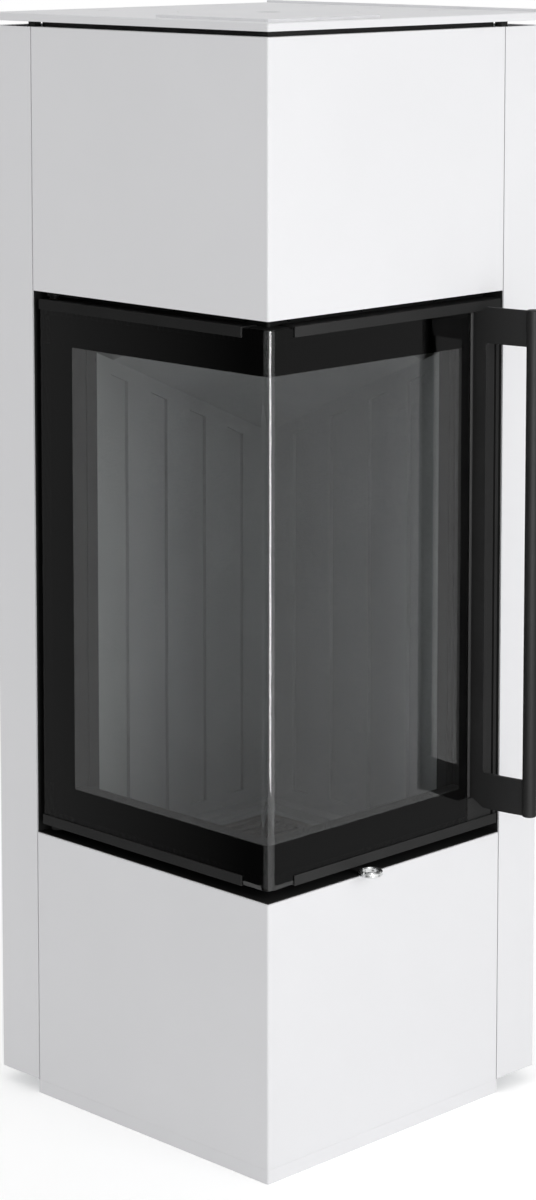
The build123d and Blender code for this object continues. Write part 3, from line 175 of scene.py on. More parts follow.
def powder_coated_steel():
    """White powder coat sprayed on sheet steel and baked: an even matt white whose faint
    orange peel breaks up the soft reflections, with edges rounded by the coat."""
    material, tree, shader = new_material("powder_coated_steel", {"IOR": 1.5, "Specular IOR Level": 0.3})
    place = add_node(tree, "ShaderNodeTexCoord")
    # real orange peel is 1 to 3 mm wide
    peel = add_node(tree, "ShaderNodeTexNoise", {"Scale": pattern_scale(2.4), "Detail": 2.0},
                    {"Vector": place.outputs["Object"]})
    cloud = add_node(tree, "ShaderNodeTexNoise", {"Scale": pattern_scale(160), "Detail": 3.0},
                     {"Vector": place.outputs["Object"]})
    tint = add_node(tree, "ShaderNodeValToRGB", links={"Fac": cloud.outputs["Fac"]})
    set_ramp(tint, [(0.3, linear("#E8E8EA")), (0.7, linear("#EAEAEC"))])
    gloss = add_node(tree, "ShaderNodeMapRange", {"To Min": 0.58, "To Max": 0.70},
                     {"Value": peel.outputs["Fac"]})
    edge = add_node(tree, "ShaderNodeBevel", {"Radius": 0.8 * MM, "samples": 6})
    bump = add_node(tree, "ShaderNodeBump", {"Strength": 0.10, "Distance": 0.05 * MM},
                    {"Height": peel.outputs["Fac"], "Normal": edge.outputs["Normal"]})
    tree.links.new(tint.outputs["Color"], shader.inputs["Base Color"])
    tree.links.new(gloss.outputs["Result"], shader.inputs["Roughness"])
    tree.links.new(bump.outputs["Normal"], shader.inputs["Normal"])
    return material


def stove_paint():
    """Black heat-resisting silicone paint, sprayed and burnt in: a deep charcoal with a dry,
    slightly grainy surface, so porous that it has less sheen than a house paint."""
    material, tree, shader = new_material("stove_paint", {"IOR": 1.5, "Specular IOR Level": 0.3})
    place = add_node(tree, "ShaderNodeTexCoord")
    # the spray grain is under 1 mm and is drawn at 1.6 mm so that it shows
    grain = add_node(tree, "ShaderNodeTexNoise", {"Scale": pattern_scale(1.6), "Detail": 3.0},
                     {"Vector": place.outputs["Object"]})
    cloud = add_node(tree, "ShaderNodeTexNoise", {"Scale": pattern_scale(60), "Detail": 4.0},
                     {"Vector": place.outputs["Object"]})
    tint = add_node(tree, "ShaderNodeValToRGB", links={"Fac": cloud.outputs["Fac"]})
    set_ramp(tint, [(0.3, linear("#101010")), (0.7, linear("#171717"))])
    gloss = add_node(tree, "ShaderNodeMapRange", {"To Min": 0.56, "To Max": 0.70},
                     {"Value": grain.outputs["Fac"]})
    edge = add_node(tree, "ShaderNodeBevel", {"Radius": 0.5 * MM, "samples": 6})
    bump = add_node(tree, "ShaderNodeBump", {"Strength": 0.18, "Distance": 0.04 * MM},
                    {"Height": grain.outputs["Fac"], "Normal": edge.outputs["Normal"]})
    tree.links.new(tint.outputs["Color"], shader.inputs["Base Color"])
    tree.links.new(gloss.outputs["Result"], shader.inputs["Roughness"])
    tree.links.new(bump.outputs["Normal"], shader.inputs["Normal"])
    return material


def ceramic_glass():
    """Clear glass ceramic, rolled and bent: nearly colourless, with sharp reflections that
    wander a little because rolled sheet is never quite flat."""
    material, tree, shader = new_material(
        "ceramic_glass", {"Base Color": linear("#E5E6E6"), "Transmission Weight": 1.0, "IOR": 1.53,
                          "Roughness": 0.0})
    place = add_node(tree, "ShaderNodeTexCoord")
    ripple = add_node(tree, "ShaderNodeTexNoise", {"Scale": pattern_scale(90), "Detail": 1.0},
                      {"Vector": place.outputs["Object"]})
    bump = add_node(tree, "ShaderNodeBump", {"Strength": 0.02, "Distance": 0.1 * MM},
                    {"Height": ripple.outputs["Fac"]})
    tree.links.new(bump.outputs["Normal"], shader.inputs["Normal"])
    return material


def printed_enamel():
    """Black ceramic ink fired on the back of the glass: a dense, even black that hides the
    door frame and shows the gloss of the glass over it. The ink is fused to the glass with no
    air between them, so it has next to no gloss of its own."""
    material, tree, shader = new_material("printed_enamel", {"IOR": 1.5, "Specular IOR Level": 0.1})
    place = add_node(tree, "ShaderNodeTexCoord")
    # the screen's dots are 0.3 mm and are drawn at 1.5 mm so that they show
    dots = add_node(tree, "ShaderNodeTexNoise", {"Scale": pattern_scale(1.5), "Detail": 2.0},
                    {"Vector": place.outputs["Object"]})
    tint = add_node(tree, "ShaderNodeValToRGB", links={"Fac": dots.outputs["Fac"]})
    set_ramp(tint, [(0.35, linear("#1E1E1E")), (0.65, linear("#232323"))])
    gloss = add_node(tree, "ShaderNodeMapRange", {"To Min": 0.60, "To Max": 0.66},
                     {"Value": dots.outputs["Fac"]})
    tree.links.new(tint.outputs["Color"], shader.inputs["Base Color"])
    tree.links.new(gloss.outputs["Result"], shader.inputs["Roughness"])
    return material


def galvanised_sheet():
    """Hot-dip galvanised sheet: a cool grey metal with frost-like spangle, each crystal at a
    slightly different brightness and gloss."""
    material, tree, shader = new_material("galvanised_sheet", {"Metallic": 1.0})
    place = add_node(tree, "ShaderNodeTexCoord")
    spangle = add_node(tree, "ShaderNodeTexVoronoi", {"Scale": pattern_scale(11)},
                       {"Vector": place.outputs["Object"]})
    level = add_node(tree, "ShaderNodeSeparateColor", links={"Color": spangle.outputs["Color"]})
    tint = add_node(tree, "ShaderNodeValToRGB", links={"Fac": level.outputs["Red"]})
    set_ramp(tint, [(0.0, linear("#A4A8AB")), (1.0, linear("#BEC2C5"))])
    gloss = add_node(tree, "ShaderNodeMapRange", {"To Min": 0.34, "To Max": 0.52},
                     {"Value": level.outputs["Green"]})
    bump = add_node(tree, "ShaderNodeBump", {"Strength": 0.12, "Distance": 0.05 * MM},
                    {"Height": spangle.outputs["Distance"]})
    tree.links.new(tint.outputs["Color"], shader.inputs["Base Color"])
    tree.links.new(gloss.outputs["Result"], shader.inputs["Roughness"])
    tree.links.new(bump.outputs["Normal"], shader.inputs["Normal"])
    return material


def pressed_fireclay():
    """Pressed and fired clay board: neutral grey with fine grog specks and a dry, pitted face.
    It is painted pale close behind the left pane and nearly so behind the right one, and painted
    shade darkens it further in, where less light comes through the glass."""
    material, tree, shader = new_material("pressed_fireclay", {"IOR": 1.5, "Specular IOR Level": 0.25})
    place = add_node(tree, "ShaderNodeTexCoord")
    grog = add_node(tree, "ShaderNodeTexVoronoi", {"Scale": pattern_scale(3.2)},
                    {"Vector": place.outputs["Object"]})
    smoke = add_node(tree, "ShaderNodeTexNoise", {"Scale": pattern_scale(110), "Detail": 5.0},
                     {"Vector": place.outputs["Object"]})
    grain = add_node(tree, "ShaderNodeSeparateColor", links={"Color": grog.outputs["Color"]})
    spot = add_node(tree, "ShaderNodeSeparateXYZ", links={"Vector": place.outputs["Object"]})
    # painted shade: the tint darkens with distance in from the panes, standing for light that falls off
    behind_left_pane = add_node(tree, "ShaderNodeMath", {"operation": "SUBTRACT", 1: GLASS_LOW.y},
                                {0: spot.outputs["Y"]})
    behind_right_pane = add_node(tree, "ShaderNodeMath",
                                 {"operation": "SUBTRACT", 0: GLASS_HIGH.x + RIGHT_SHADE_REACH},
                                 {1: spot.outputs["X"]})
    depth = add_node(tree, "ShaderNodeMath", {"operation": "MINIMUM"},
                     {0: behind_left_pane.outputs["Value"], 1: behind_right_pane.outputs["Value"]})
    painted_shade = add_node(tree, "ShaderNodeMapRange",
                    {"From Min": PAINTED_LIGHT_DEPTH, "From Max": FULL_SHADE_DEPTH, "To Min": 0.0, "To Max": FULL_PAINTED_SHADE},
                    {"Value": depth.outputs["Value"]})
    cloudy = add_node(tree, "ShaderNodeMath", {"operation": "MULTIPLY_ADD", 1: SMOKE_CLOUDS},
                      {0: smoke.outputs["Fac"], 2: painted_shade.outputs["Result"]})
    mixed = add_node(tree, "ShaderNodeMath", {"operation": "MULTIPLY_ADD", 1: GROG_SPECKS},
                     {0: grain.outputs["Red"], 2: cloudy.outputs["Value"]})
    tint = add_node(tree, "ShaderNodeValToRGB", links={"Fac": mixed.outputs["Value"]})
    # pale end near the panes, dark end painted shade further in; smoke clouds and grog vary it at random
    set_ramp(tint, [(0.15, linear("#8F9191")), (0.85, linear("#646667"))])
    gloss = add_node(tree, "ShaderNodeMapRange", {"To Min": 0.82, "To Max": 0.95},
                     {"Value": grain.outputs["Green"]})
    bump = add_node(tree, "ShaderNodeBump", {"Strength": 0.4, "Distance": 0.3 * MM},
                    {"Height": grog.outputs["Distance"]})
    tree.links.new(tint.outputs["Color"], shader.inputs["Base Color"])
    tree.links.new(gloss.outputs["Result"], shader.inputs["Roughness"])
    tree.links.new(bump.outputs["Normal"], shader.inputs["Normal"])
    return material


def sand_cast_iron():
    """Grey iron cast in sand: dark, pebbled grey with a dull metal sheen and a trace of rust
    in the hollows."""
    material, tree, shader = new_material("sand_cast_iron", {"Metallic": 0.6})
    place = add_node(tree, "ShaderNodeTexCoord")
    sand = add_node(tree, "ShaderNodeTexNoise", {"Scale": pattern_scale(1.8), "Detail": 4.0},
                    {"Vector": place.outputs["Object"]})
    rust = add_node(tree, "ShaderNodeTexNoise", {"Scale": pattern_scale(28), "Detail": 5.0},
                    {"Vector": place.outputs["Object"]})
    tint = add_node(tree, "ShaderNodeValToRGB", links={"Fac": rust.outputs["Fac"]})
    set_ramp(tint, [(0.35, linear("#3B3A39")), (0.68, linear("#453B35"))])
    gloss = add_node(tree, "ShaderNodeMapRange", {"To Min": 0.55, "To Max": 0.75},
                     {"Value": sand.outputs["Fac"]})
    bump = add_node(tree, "ShaderNodeBump", {"Strength": 0.5, "Distance": 0.25 * MM},
                    {"Height": sand.outputs["Fac"]})
    tree.links.new(tint.outputs["Color"], shader.inputs["Base Color"])
    tree.links.new(gloss.outputs["Result"], shader.inputs["Roughness"])
    tree.links.new(bump.outputs["Normal"], shader.inputs["Normal"])
    return material


def turned_stainless():
    """Stainless steel turned on a lathe: bright, with fine rings left by the tool that draw
    the highlights out round the ring."""
    material, tree, shader = new_material("turned_stainless", {"Metallic": 1.0})
    place = add_node(tree, "ShaderNodeTexCoord")
    # tool marks are 0.1 mm apart and are drawn with 0.5 mm to the radian, so 3.14 mm apart, to show
    marks = add_node(tree, "ShaderNodeTexWave",
                     {"Scale": pattern_scale(0.5) / WAVE_RADIANS, "Distortion": 0.4,
                      "bands_direction": "Z"},
                     {"Vector": place.outputs["Object"]})
    tint = add_node(tree, "ShaderNodeValToRGB", links={"Fac": marks.outputs["Fac"]})
    set_ramp(tint, [(0.0, linear("#C9CACA")), (1.0, linear("#DADBDB"))])
    gloss = add_node(tree, "ShaderNodeMapRange", {"To Min": 0.20, "To Max": 0.32},
                     {"Value": marks.outputs["Fac"]})
    tree.links.new(tint.outputs["Color"], shader.inputs["Base Color"])
    tree.links.new(gloss.outputs["Result"], shader.inputs["Roughness"])
    return material


def turned_brass():
    """Bearing brass, turned: a warm yellow metal, brighter and smoother where the pin runs."""
    material, tree, shader = new_material("turned_brass", {"Metallic": 1.0})
    place = add_node(tree, "ShaderNodeTexCoord")
    wear = add_node(tree, "ShaderNodeTexNoise", {"Scale": pattern_scale(5), "Detail": 3.0},
                    {"Vector": place.outputs["Object"]})
    tint = add_node(tree, "ShaderNodeValToRGB", links={"Fac": wear.outputs["Fac"]})
    set_ramp(tint, [(0.3, linear("#B08D4A")), (0.7, linear("#CDAA62"))])
    gloss = add_node(tree, "ShaderNodeMapRange", {"To Min": 0.22, "To Max": 0.38},
                     {"Value": wear.outputs["Fac"]})
    tree.links.new(tint.outputs["Color"], shader.inputs["Base Color"])
    tree.links.new(gloss.outputs["Result"], shader.inputs["Roughness"])
    return material


def blackened_steel():
    """Blackened steel of small screws: near black, with a dull oily shine."""
    material, tree, shader = new_material("blackened_steel", {"Metallic": 1.0})
    place = add_node(tree, "ShaderNodeTexCoord")
    bloom = add_node(tree, "ShaderNodeTexNoise", {"Scale": pattern_scale(2), "Detail": 3.0},
                     {"Vector": place.outputs["Object"]})
    tint = add_node(tree, "ShaderNodeValToRGB", links={"Fac": bloom.outputs["Fac"]})
    set_ramp(tint, [(0.3, linear("#2B2B2C")), (0.7, linear("#3A3A3B"))])
    gloss = add_node(tree, "ShaderNodeMapRange", {"To Min": 0.34, "To Max": 0.48},
                     {"Value": bloom.outputs["Fac"]})
    tree.links.new(tint.outputs["Color"], shader.inputs["Base Color"])
    tree.links.new(gloss.outputs["Result"], shader.inputs["Roughness"])
    return material


def knitted_glass_yarn():
    """Knitted glass yarn, dyed graphite: dull dark grey with small crossing stitches, with a
    painted highlight on their crowns and painted shade between them."""
    material, tree, shader = new_material("knitted_glass_yarn", {"IOR": 1.5, "Sheen Weight": 0.3})
    place = add_node(tree, "ShaderNodeTexCoord")
    stitches = add_node(tree, "ShaderNodeTexVoronoi", {"Scale": pattern_scale(1.6)},
                        {"Vector": place.outputs["Object"]})
    # painted highlight lighter at the middle of each stitch, painted shade darker between stitches
    tint = add_node(tree, "ShaderNodeValToRGB", links={"Fac": stitches.outputs["Distance"]})
    set_ramp(tint, [(0.1, linear("#3C3C3D")), (0.8, linear("#1D1D1E"))])
    gloss = add_node(tree, "ShaderNodeMapRange", {"To Min": 0.75, "To Max": 0.95},
                     {"Value": stitches.outputs["Distance"]})
    bump = add_node(tree, "ShaderNodeBump", {"Strength": 0.7, "Distance": 0.3 * MM, "invert": True},
                    {"Height": stitches.outputs["Distance"]})
    tree.links.new(tint.outputs["Color"], shader.inputs["Base Color"])
    tree.links.new(gloss.outputs["Result"], shader.inputs["Roughness"])
    tree.links.new(bump.outputs["Normal"], shader.inputs["Normal"])
    return material


POWDER_COAT = powder_coated_steel()
PAINT = stove_paint()
ENAMEL = printed_enamel()
YARN = knitted_glass_yarn()
BLACK_SCREW = blackened_steel()
FINISH_OF_SLOT = {
    "white_panel": POWDER_COAT,
    "black_steel": PAINT,
    "galvanised": galvanised_sheet(),
    "fireclay": pressed_fireclay(),
    "cast_iron": sand_cast_iron(),
    "door_glass": ceramic_glass(),
    "rope": YARN,
    "ring": turned_stainless(),
    "bush": turned_brass(),
}


def dress_frame():
    """Give every carried-over solid the finish that its record slot names."""
    for subpart in frame["record"]["subparts"]:
        solid = frame["nodes"][subpart["node"]]
        for slot in solid.material_slots:
            slot.material = FINISH_OF_SLOT[subpart["material_slot"]]


dress_frame()


# ---- pieces that the solids leave out ------------------------------------------------------

def make_piece(name, mesh_builder, material, body, smooth=False):
    """Make one object from a bmesh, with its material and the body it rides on."""
    mesh = bpy.data.meshes.new(name)
    built = bmesh.new()
    mesh_builder(built)
    bmesh.ops.recalc_face_normals(built, faces=built.faces)
    built.to_mesh(mesh)
    built.free()
    for polygon in mesh.polygons:
        polygon.use_smooth = smooth
    piece = bpy.data.objects.new(name, mesh)
    bpy.context.scene.collection.objects.link(piece)
    mesh.materials.append(material)
    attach(piece, body)
    return piece


def bend_length(axis_depth, middle_depth):
    """Length of a sheet's bend, measured at middle_depth."""
    return (axis_depth - middle_depth) * math.pi / 2


def bend_places(axis_depth, middle_depth, steps):
    """Places along a sheet, from one end of its bend to the other."""
    arc = bend_length(axis_depth, middle_depth)
    return [arc * (step / steps - 0.5) for step in range(steps + 1)]


def round_front_corner(along, depth, z, axis_depth, middle_depth):
    """Point of a sheet that follows the left face, a bend and the right face. Depths run in from
    the casing's faces, and the bend's axis is at axis_depth. along runs from the middle of the
    bend, negative on the left face, and is measured at middle_depth."""
    arc = bend_length(axis_depth, middle_depth)
    axis = HALF - axis_depth
    if along < -arc / 2:
        return Vector((axis + along + arc / 2, -HALF + depth, z))
    if along > arc / 2:
        return Vector((HALF - depth, -axis + along - arc / 2, z))
    turn = (along / arc + 0.5) * math.pi / 2
    radius = axis_depth - depth
    return Vector((axis + radius * math.sin(turn), -axis - radius * math.cos(turn), z))


def along_of(x_or_y, axis_depth, middle_depth):
    """Length along the sheet, from the middle of its bend, of a place on a straight face."""
    return HALF - axis_depth - x_or_y + bend_length(axis_depth, middle_depth) / 2


def bridge_rings(built, ring, following):
    """Skin the band between two rings that have as many points."""
    for side in range(len(ring)):
        other = (side + 1) % len(ring)
        built.faces.new((ring[side], ring[other], following[other], following[side]))


def close_sweep(built, rings):
    """Skin a row of equal rings and close both ends."""
    for ring, following in zip(rings, rings[1:]):
        bridge_rings(built, ring, following)
    built.faces.new(rings[0])
    built.faces.new(rings[-1])


def printed_border(built):
    """The band of black print round the clear window, behind the glass."""
    depth = GLASS_FACE + GLASS
    axis = GLASS_FACE + GLASS_BEND
    left = -along_of(GLASS_LOW.x, axis, depth)
    right = along_of(-GLASS_HIGH.y, axis, depth)
    columns = [left, left + PRINT_LEFT]
    columns += bend_places(axis, depth, PRINT_BEND_STEPS)
    columns += [right - PRINT_RIGHT, right]
    rows = [GLASS_LOW.z, GLASS_LOW.z + PRINT_HIGH, GLASS_HIGH.z - PRINT_HIGH, GLASS_HIGH.z]
    for layer in (depth, depth + PRINT_FILM):
        grid = [[built.verts.new(round_front_corner(u, layer, z, axis, depth)) for u in columns]
                for z in rows]
        for j in range(len(rows) - 1):
            for i in range(len(columns) - 1):
                in_clear_window = j == 1 and 0 < i < len(columns) - 2
                if not in_clear_window:
                    built.faces.new((grid[j][i], grid[j][i + 1], grid[j + 1][i + 1], grid[j + 1][i]))
    # close the rim between the two layers
    layer_size = len(columns) * len(rows)
    built.verts.index_update()
    built.verts.ensure_lookup_table()
    for edge in [e for e in built.edges if len(e.link_faces) == 1]:
        a, b = edge.verts[0].index, edge.verts[1].index
        if max(a, b) < layer_size:
            behind_a, behind_b = built.verts[a + layer_size], built.verts[b + layer_size]
            built.faces.new((built.verts[a], built.verts[b], behind_b, behind_a))


def rope_route(left, right, low, high, turn):
    """Points, on the unrolled door, of a rounded rectangle run once round."""
    corners = [((right - turn, low + turn), -90), ((right - turn, high - turn), 0),
               ((left + turn, high - turn), 90), ((left + turn, low + turn), 180)]
    points = []
    for index, ((cx, cz), start) in enumerate(corners):
        for step in range(ROPE_TURN_STEPS + 1):
            angle = math.radians(start + 90 * step / ROPE_TURN_STEPS)
            points.append((cx + turn * math.cos(angle), cz + turn * math.sin(angle)))
        (nx, nz), following = corners[(index + 1) % len(corners)]
        angle = math.radians(following)
        target = (nx + turn * math.cos(angle), nz + turn * math.sin(angle))
        here = points[-1]
        count = int(math.dist(here, target) / ROPE_STEP)
        points += [(here[0] + (target[0] - here[0]) * k / count, here[1] + (target[1] - here[1]) * k / count)
                   for k in range(1, count)]
    return points


def seal_rope(built):
    """The twisted rope in the channel on the back of the door."""
    half_width, half_depth = ROPE_WIDTH / 2, ROPE_DEPTH / 2
    middle = HALF - SEAL_HIGH.x + half_depth
    axis = middle + SEAL_BEND
    left = -along_of(SEAL_LOW.x + half_width, axis, middle)
    right = along_of(-SEAL_HIGH.y + half_width, axis, middle)
    route = rope_route(left, right, SEAL_LOW.z + half_width, SEAL_HIGH.z - half_width, SEAL_TURN)
    travelled = 0.0
    rings = []
    for index, (u, z) in enumerate(route):
        before, after = route[index - 1], route[(index + 1) % len(route)]
        run = Vector((after[0] - before[0], after[1] - before[1])).normalized()
        travelled += math.dist(before, (u, z)) if index else 0.0
        ring = []
        for side in range(ROPE_SIDES):
            angle = 2 * math.pi * side / ROPE_SIDES
            lay = travelled / ROPE_LAY * 2 * math.pi
            lobe = 1 - ROPE_SWELL + ROPE_SWELL * math.cos(ROPE_STRANDS * angle + lay)
            across = half_width * lobe * math.cos(angle)
            back = half_depth * lobe * math.sin(angle)
            ring.append(built.verts.new(round_front_corner(
                u - run.y * across, middle + back, z + run.x * across, axis, middle)))
        rings.append(ring)
    for index, ring in enumerate(rings):
        bridge_rings(built, ring, rings[(index + 1) % len(rings)])


def pan_head(built, centre, outward):
    """One pan-head screw with a hexagon socket, its head standing on centre."""
    outward = Vector(outward).normalized()
    side = outward.orthogonal().normalized()
    other = outward.cross(side)
    # the head as rings: share of the radius, share of the rise, and whether it is a hexagon
    profile = ((1.0, 0.0, False), (1.0, 0.35, False), (0.93, 0.68, False), (0.76, 0.93, False),
               (0.56, 1.0, False), (0.46, 1.0, True), (0.46, 0.45, True))
    rings = []
    for share, height, hexagon in profile:
        ring = []
        for step in range(SCREW_SIDES):
            angle = 2 * math.pi * step / SCREW_SIDES
            reach = SCREW_RADIUS * share
            if hexagon:
                reach *= math.cos(math.pi / 6) / math.cos((angle % (math.pi / 3)) - math.pi / 6)
            ring.append(built.verts.new(Vector(centre) + side * reach * math.cos(angle)
                                        + other * reach * math.sin(angle) + outward * SCREW_RISE * height))
        rings.append(ring)
    close_sweep(built, rings)


def door_opening_shade_sheet(built):
    """Thin black sheet that lines the door opening below and at both sides, from just behind
    the casing face back to the fixed frame: painted shade, dark where the opening lies in shadow."""
    low, high = DOOR_GAP_LOW[0], DOOR_GAP_LOW[0] + SHADE_SHEET
    section = [(PANEL_SHEET, low), (FRAME_FACE, low), (FRAME_FACE, high), (PANEL_SHEET, high)]
    left_end = [(OPENING_LEFT, -HALF + depth, z) for depth, z in section]
    corner = [(HALF - depth, -HALF + depth, z) for depth, z in section]
    right_end = [(HALF - depth, OPENING_RIGHT, z) for depth, z in section]
    close_sweep(built, [[built.verts.new(point) for point in ring] for ring in (left_end, corner, right_end)])
    depths = (PANEL_SHEET, FRAME_FACE, FRAME_FACE, PANEL_SHEET)
    steps = (0.0, 0.0, SHADE_SHEET, SHADE_SHEET)
    left = [(OPENING_LEFT + step, -HALF + depth) for depth, step in zip(depths, steps)]
    right = [(HALF - depth, OPENING_RIGHT - step) for depth, step in zip(depths, steps)]
    for outline in (left, right):
        rings = [[built.verts.new((x, y, z)) for x, y in outline] for z in (high, DOOR_GAP_TOP[1])]
        close_sweep(built, rings)


def end_painted_shade(built):
    """Black film on the two cut ends of the glass, painted shade that keeps them from shining."""
    depths = (GLASS_FACE, GLASS_FACE + GLASS)
    left = [(GLASS_LOW.x - out, -HALF + depth) for out in (0, PRINT_FILM) for depth in depths]
    right = [(HALF - depth, GLASS_HIGH.y + out) for out in (0, PRINT_FILM) for depth in depths]
    for a, b, c, d in (left, right):
        rings = [[built.verts.new((x, y, z)) for x, y in (a, b, d, c)] for z in (GLASS_LOW.z, GLASS_HIGH.z)]
        close_sweep(built, rings)


def gap_screws(built):
    """Screws of the fixed frame that show in the shadow gaps above and below the door."""
    high = sum(DOOR_GAP_TOP) / 2 - HIGH_SCREW_DROP
    low = sum(DOOR_GAP_LOW) / 2
    left_face, right_face = -HALF + FRAME_FACE, HALF - FRAME_FACE
    for x, z in [(x, high) for x in LEFT_GAP_SCREWS] + [(LOW_SCREW_LEFT, low)]:
        pan_head(built, (x, left_face, z), (0, -1, 0))
    for y, z in [(y, high) for y in RIGHT_GAP_SCREWS] + [(LOW_SCREW_RIGHT, low)]:
        pan_head(built, (right_face, y, z), (1, 0, 0))


def rear_screws(built):
    """Screws that hold the rear panel along its two upright edges and round the flue hole."""
    lowest = PLINTH_TOP + REAR_SCREW_END
    row = CASING_TOP - PLINTH_TOP - 2 * REAR_SCREW_END
    for level in range(REAR_SCREW_LEVELS):
        z = lowest + row * level / (REAR_SCREW_LEVELS - 1)
        for x in (-HALF + REAR_SCREW_INSET, HALF - REAR_SCREW_INSET):
            pan_head(built, (x, REAR_FACE, z), (0, 1, 0))
    for quarter in range(4):
        angle = math.radians(45 + 90 * quarter)
        x = FLUE_SCREW_CIRCLE * math.cos(angle)
        z = FLUE_AXIS_Z + FLUE_SCREW_CIRCLE * math.sin(angle)
        pan_head(built, (x, REAR_FACE, z), (0, 1, 0))


def glass_tapes(built):
    """The woven tape between the glass and the door frame: two bands round the corner and one
    upright band at the hinge end, with rounded edges."""
    near = HALF - TAPE_HIGH.x
    thick = GLASS_FACE + GLASS + TAPE_BACK - near
    axis = GLASS_FACE + GLASS_BEND
    left = -along_of(TAPE_LOW.x, axis, near)
    right = along_of(-TAPE_HIGH.y, axis, near)
    # outline of a band, in shares of its width and of its thickness
    across, deep = TAPE_ROUND_ACROSS, TAPE_ROUND_DEEP
    section = [(0.0, deep), (across, 0.0), (1 - across, 0.0), (1.0, deep),
               (1.0, 1 - deep), (1 - across, 1.0), (across, 1.0), (0.0, 1 - deep)]
    stations = [left] + bend_places(axis, near, TAPE_BEND_STEPS) + [right]
    for low in (TAPE_LOW.z, TAPE_HIGH.z - TAPE_WIDTH):
        rings = [[built.verts.new(round_front_corner(u, near + thick * d, low + TAPE_WIDTH * h, axis, near))
                  for h, d in section] for u in stations]
        close_sweep(built, rings)
    rings = [[built.verts.new(round_front_corner(left + TAPE_WIDTH * h, near + thick * d, z, axis, near))
              for h, d in section] for z in (TAPE_LOW.z + TAPE_WIDTH, TAPE_HIGH.z - TAPE_WIDTH)]
    close_sweep(built, rings)


make_piece("printed_border", printed_border, ENAMEL, "door")
rope = make_piece("seal_rope", seal_rope, YARN, "door", smooth=True)
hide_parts("door_seal")
tapes = make_piece("glass_tapes", glass_tapes, YARN, "door")
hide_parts("glass_tape")
# black film of painted shade on the cut ends of the glass
make_piece("glass_edge_paint", end_painted_shade, ENAMEL, "door")
# black sheet of painted shade in the shadowed door opening
make_piece("door_opening_shade_sheet", door_opening_shade_sheet, PAINT, "stove")
make_piece("gap_screws", gap_screws, BLACK_SCREW, "stove")
make_piece("rear_screws", rear_screws, FINISH_OF_SLOT["galvanised"], "stove")


# ---- studio --------------------------------------------------------------------------------

WHITE = linear("#FFFFFF")
ROOM_LIGHT = 0.75             # level of the even light that falls on the object
SOFTBOX_PLACE = (2.6, 0.0, 0.8)
SOFTBOX_TARGET = (0.0, 0.0, 0.6)
SOFTBOX_SIZE = (1.6, 2.0)
SOFTBOX_WATTS = 23.5
FLOOR_SIDE = 40.0
FLOOR_LIFT = 0.34             # share of white that the floor shows without any light
CARD_HEIGHT = 2.4
# the hinge end of the left pane reflects the grey end of this card, the bend its near-black end
LEFT_CARD_ENDS = ((-2.2, -0.95), (0.85, -0.95))
LEFT_CARD_FADE = (-1.09, -0.55)
LEFT_CARD_LEVELS = (0.28, 0.03)
# the right pane reflects this card, which is one even grey
RIGHT_CARD_ENDS = ((0.95, 0.35), (0.95, 2.4))
RIGHT_CARD_FADE = (0.0, 1.0)
RIGHT_CARD_LEVELS = (0.24, 0.24)
STRIP_PLACE = (0.95, -0.45)
STRIP_FOOT = 0.22             # the strip lamp starts this high, so its highlight fades below the window
STRIP_WIDTH = 0.34
STRIP_WATTS = 31.0
# the camera is on the diagonal through the front corner, as the photograph's was, and looks a
# little down, and its shift sets the stove's height in the picture
CAMERA_PLACE = (2.5547, -2.5547, 1.400)
CAMERA_TURN = 45.0            # degrees round from looking along +Y
CAMERA_PITCH = 6.714          # degrees below the horizon
LENS = 94.56
SENSOR = 36.0
FRAMING_SHIFT = -0.28


def seen_directly(tree):
    """One for rays that show the background itself: camera, glossy and transmission rays."""
    path = add_node(tree, "ShaderNodeLightPath")
    both = add_node(tree, "ShaderNodeMath", {"operation": "MAXIMUM"},
                    {0: path.outputs["Is Camera Ray"], 1: path.outputs["Is Glossy Ray"]})
    return add_node(tree, "ShaderNodeMath", {"operation": "MAXIMUM"},
                    {0: both.outputs["Value"], 1: path.outputs["Is Transmission Ray"]})


def light_room():
    """White surroundings, and an even light of ROOM_LIGHT on the object."""
    world = bpy.data.worlds.new("studio")
    bpy.context.scene.world = world
    tree = start_tree(world)
    seen = seen_directly(tree)
    level = add_node(tree, "ShaderNodeMapRange", {"To Min": ROOM_LIGHT, "To Max": 1.0},
                     {"Value": seen.outputs["Value"]})
    background = add_node(tree, "ShaderNodeBackground", {"Color": WHITE},
                          {"Strength": level.outputs["Result"]})
    add_node(tree, "ShaderNodeOutputWorld", links={"Surface": background.outputs["Background"]})


def flat_sheet(name, corners, material):
    """Make one flat four-cornered sheet for the studio."""
    mesh = bpy.data.meshes.new(name)
    mesh.from_pydata(corners, [], [(0, 1, 2, 3)])
    mesh.materials.append(material)
    sheet = bpy.data.objects.new(name, mesh)
    bpy.context.scene.collection.objects.link(sheet)
    return sheet


def lay_floor():
    """A pale floor that shows as white and keeps the soft shadow of the stove."""
    material = bpy.data.materials.new("pale_floor")
    tree = start_tree(material)
    matt = add_node(tree, "ShaderNodeBsdfDiffuse", {"Color": linear("#EDEDED")})
    glow = add_node(tree, "ShaderNodeMath", {"operation": "MULTIPLY", 1: FLOOR_LIFT},
                    {0: seen_directly(tree).outputs["Value"]})
    lift = add_node(tree, "ShaderNodeEmission", {"Color": WHITE}, {"Strength": glow.outputs["Value"]})
    total = add_node(tree, "ShaderNodeAddShader",
                     links={0: matt.outputs["BSDF"], 1: lift.outputs["Emission"]})
    add_node(tree, "ShaderNodeOutputMaterial", links={"Surface": total.outputs["Shader"]})
    side = FLOOR_SIDE / 2
    corners = [(-side, -side, 0), (side, -side, 0), (side, side, 0), (-side, side, 0)]
    floor = flat_sheet("floor", corners, material)


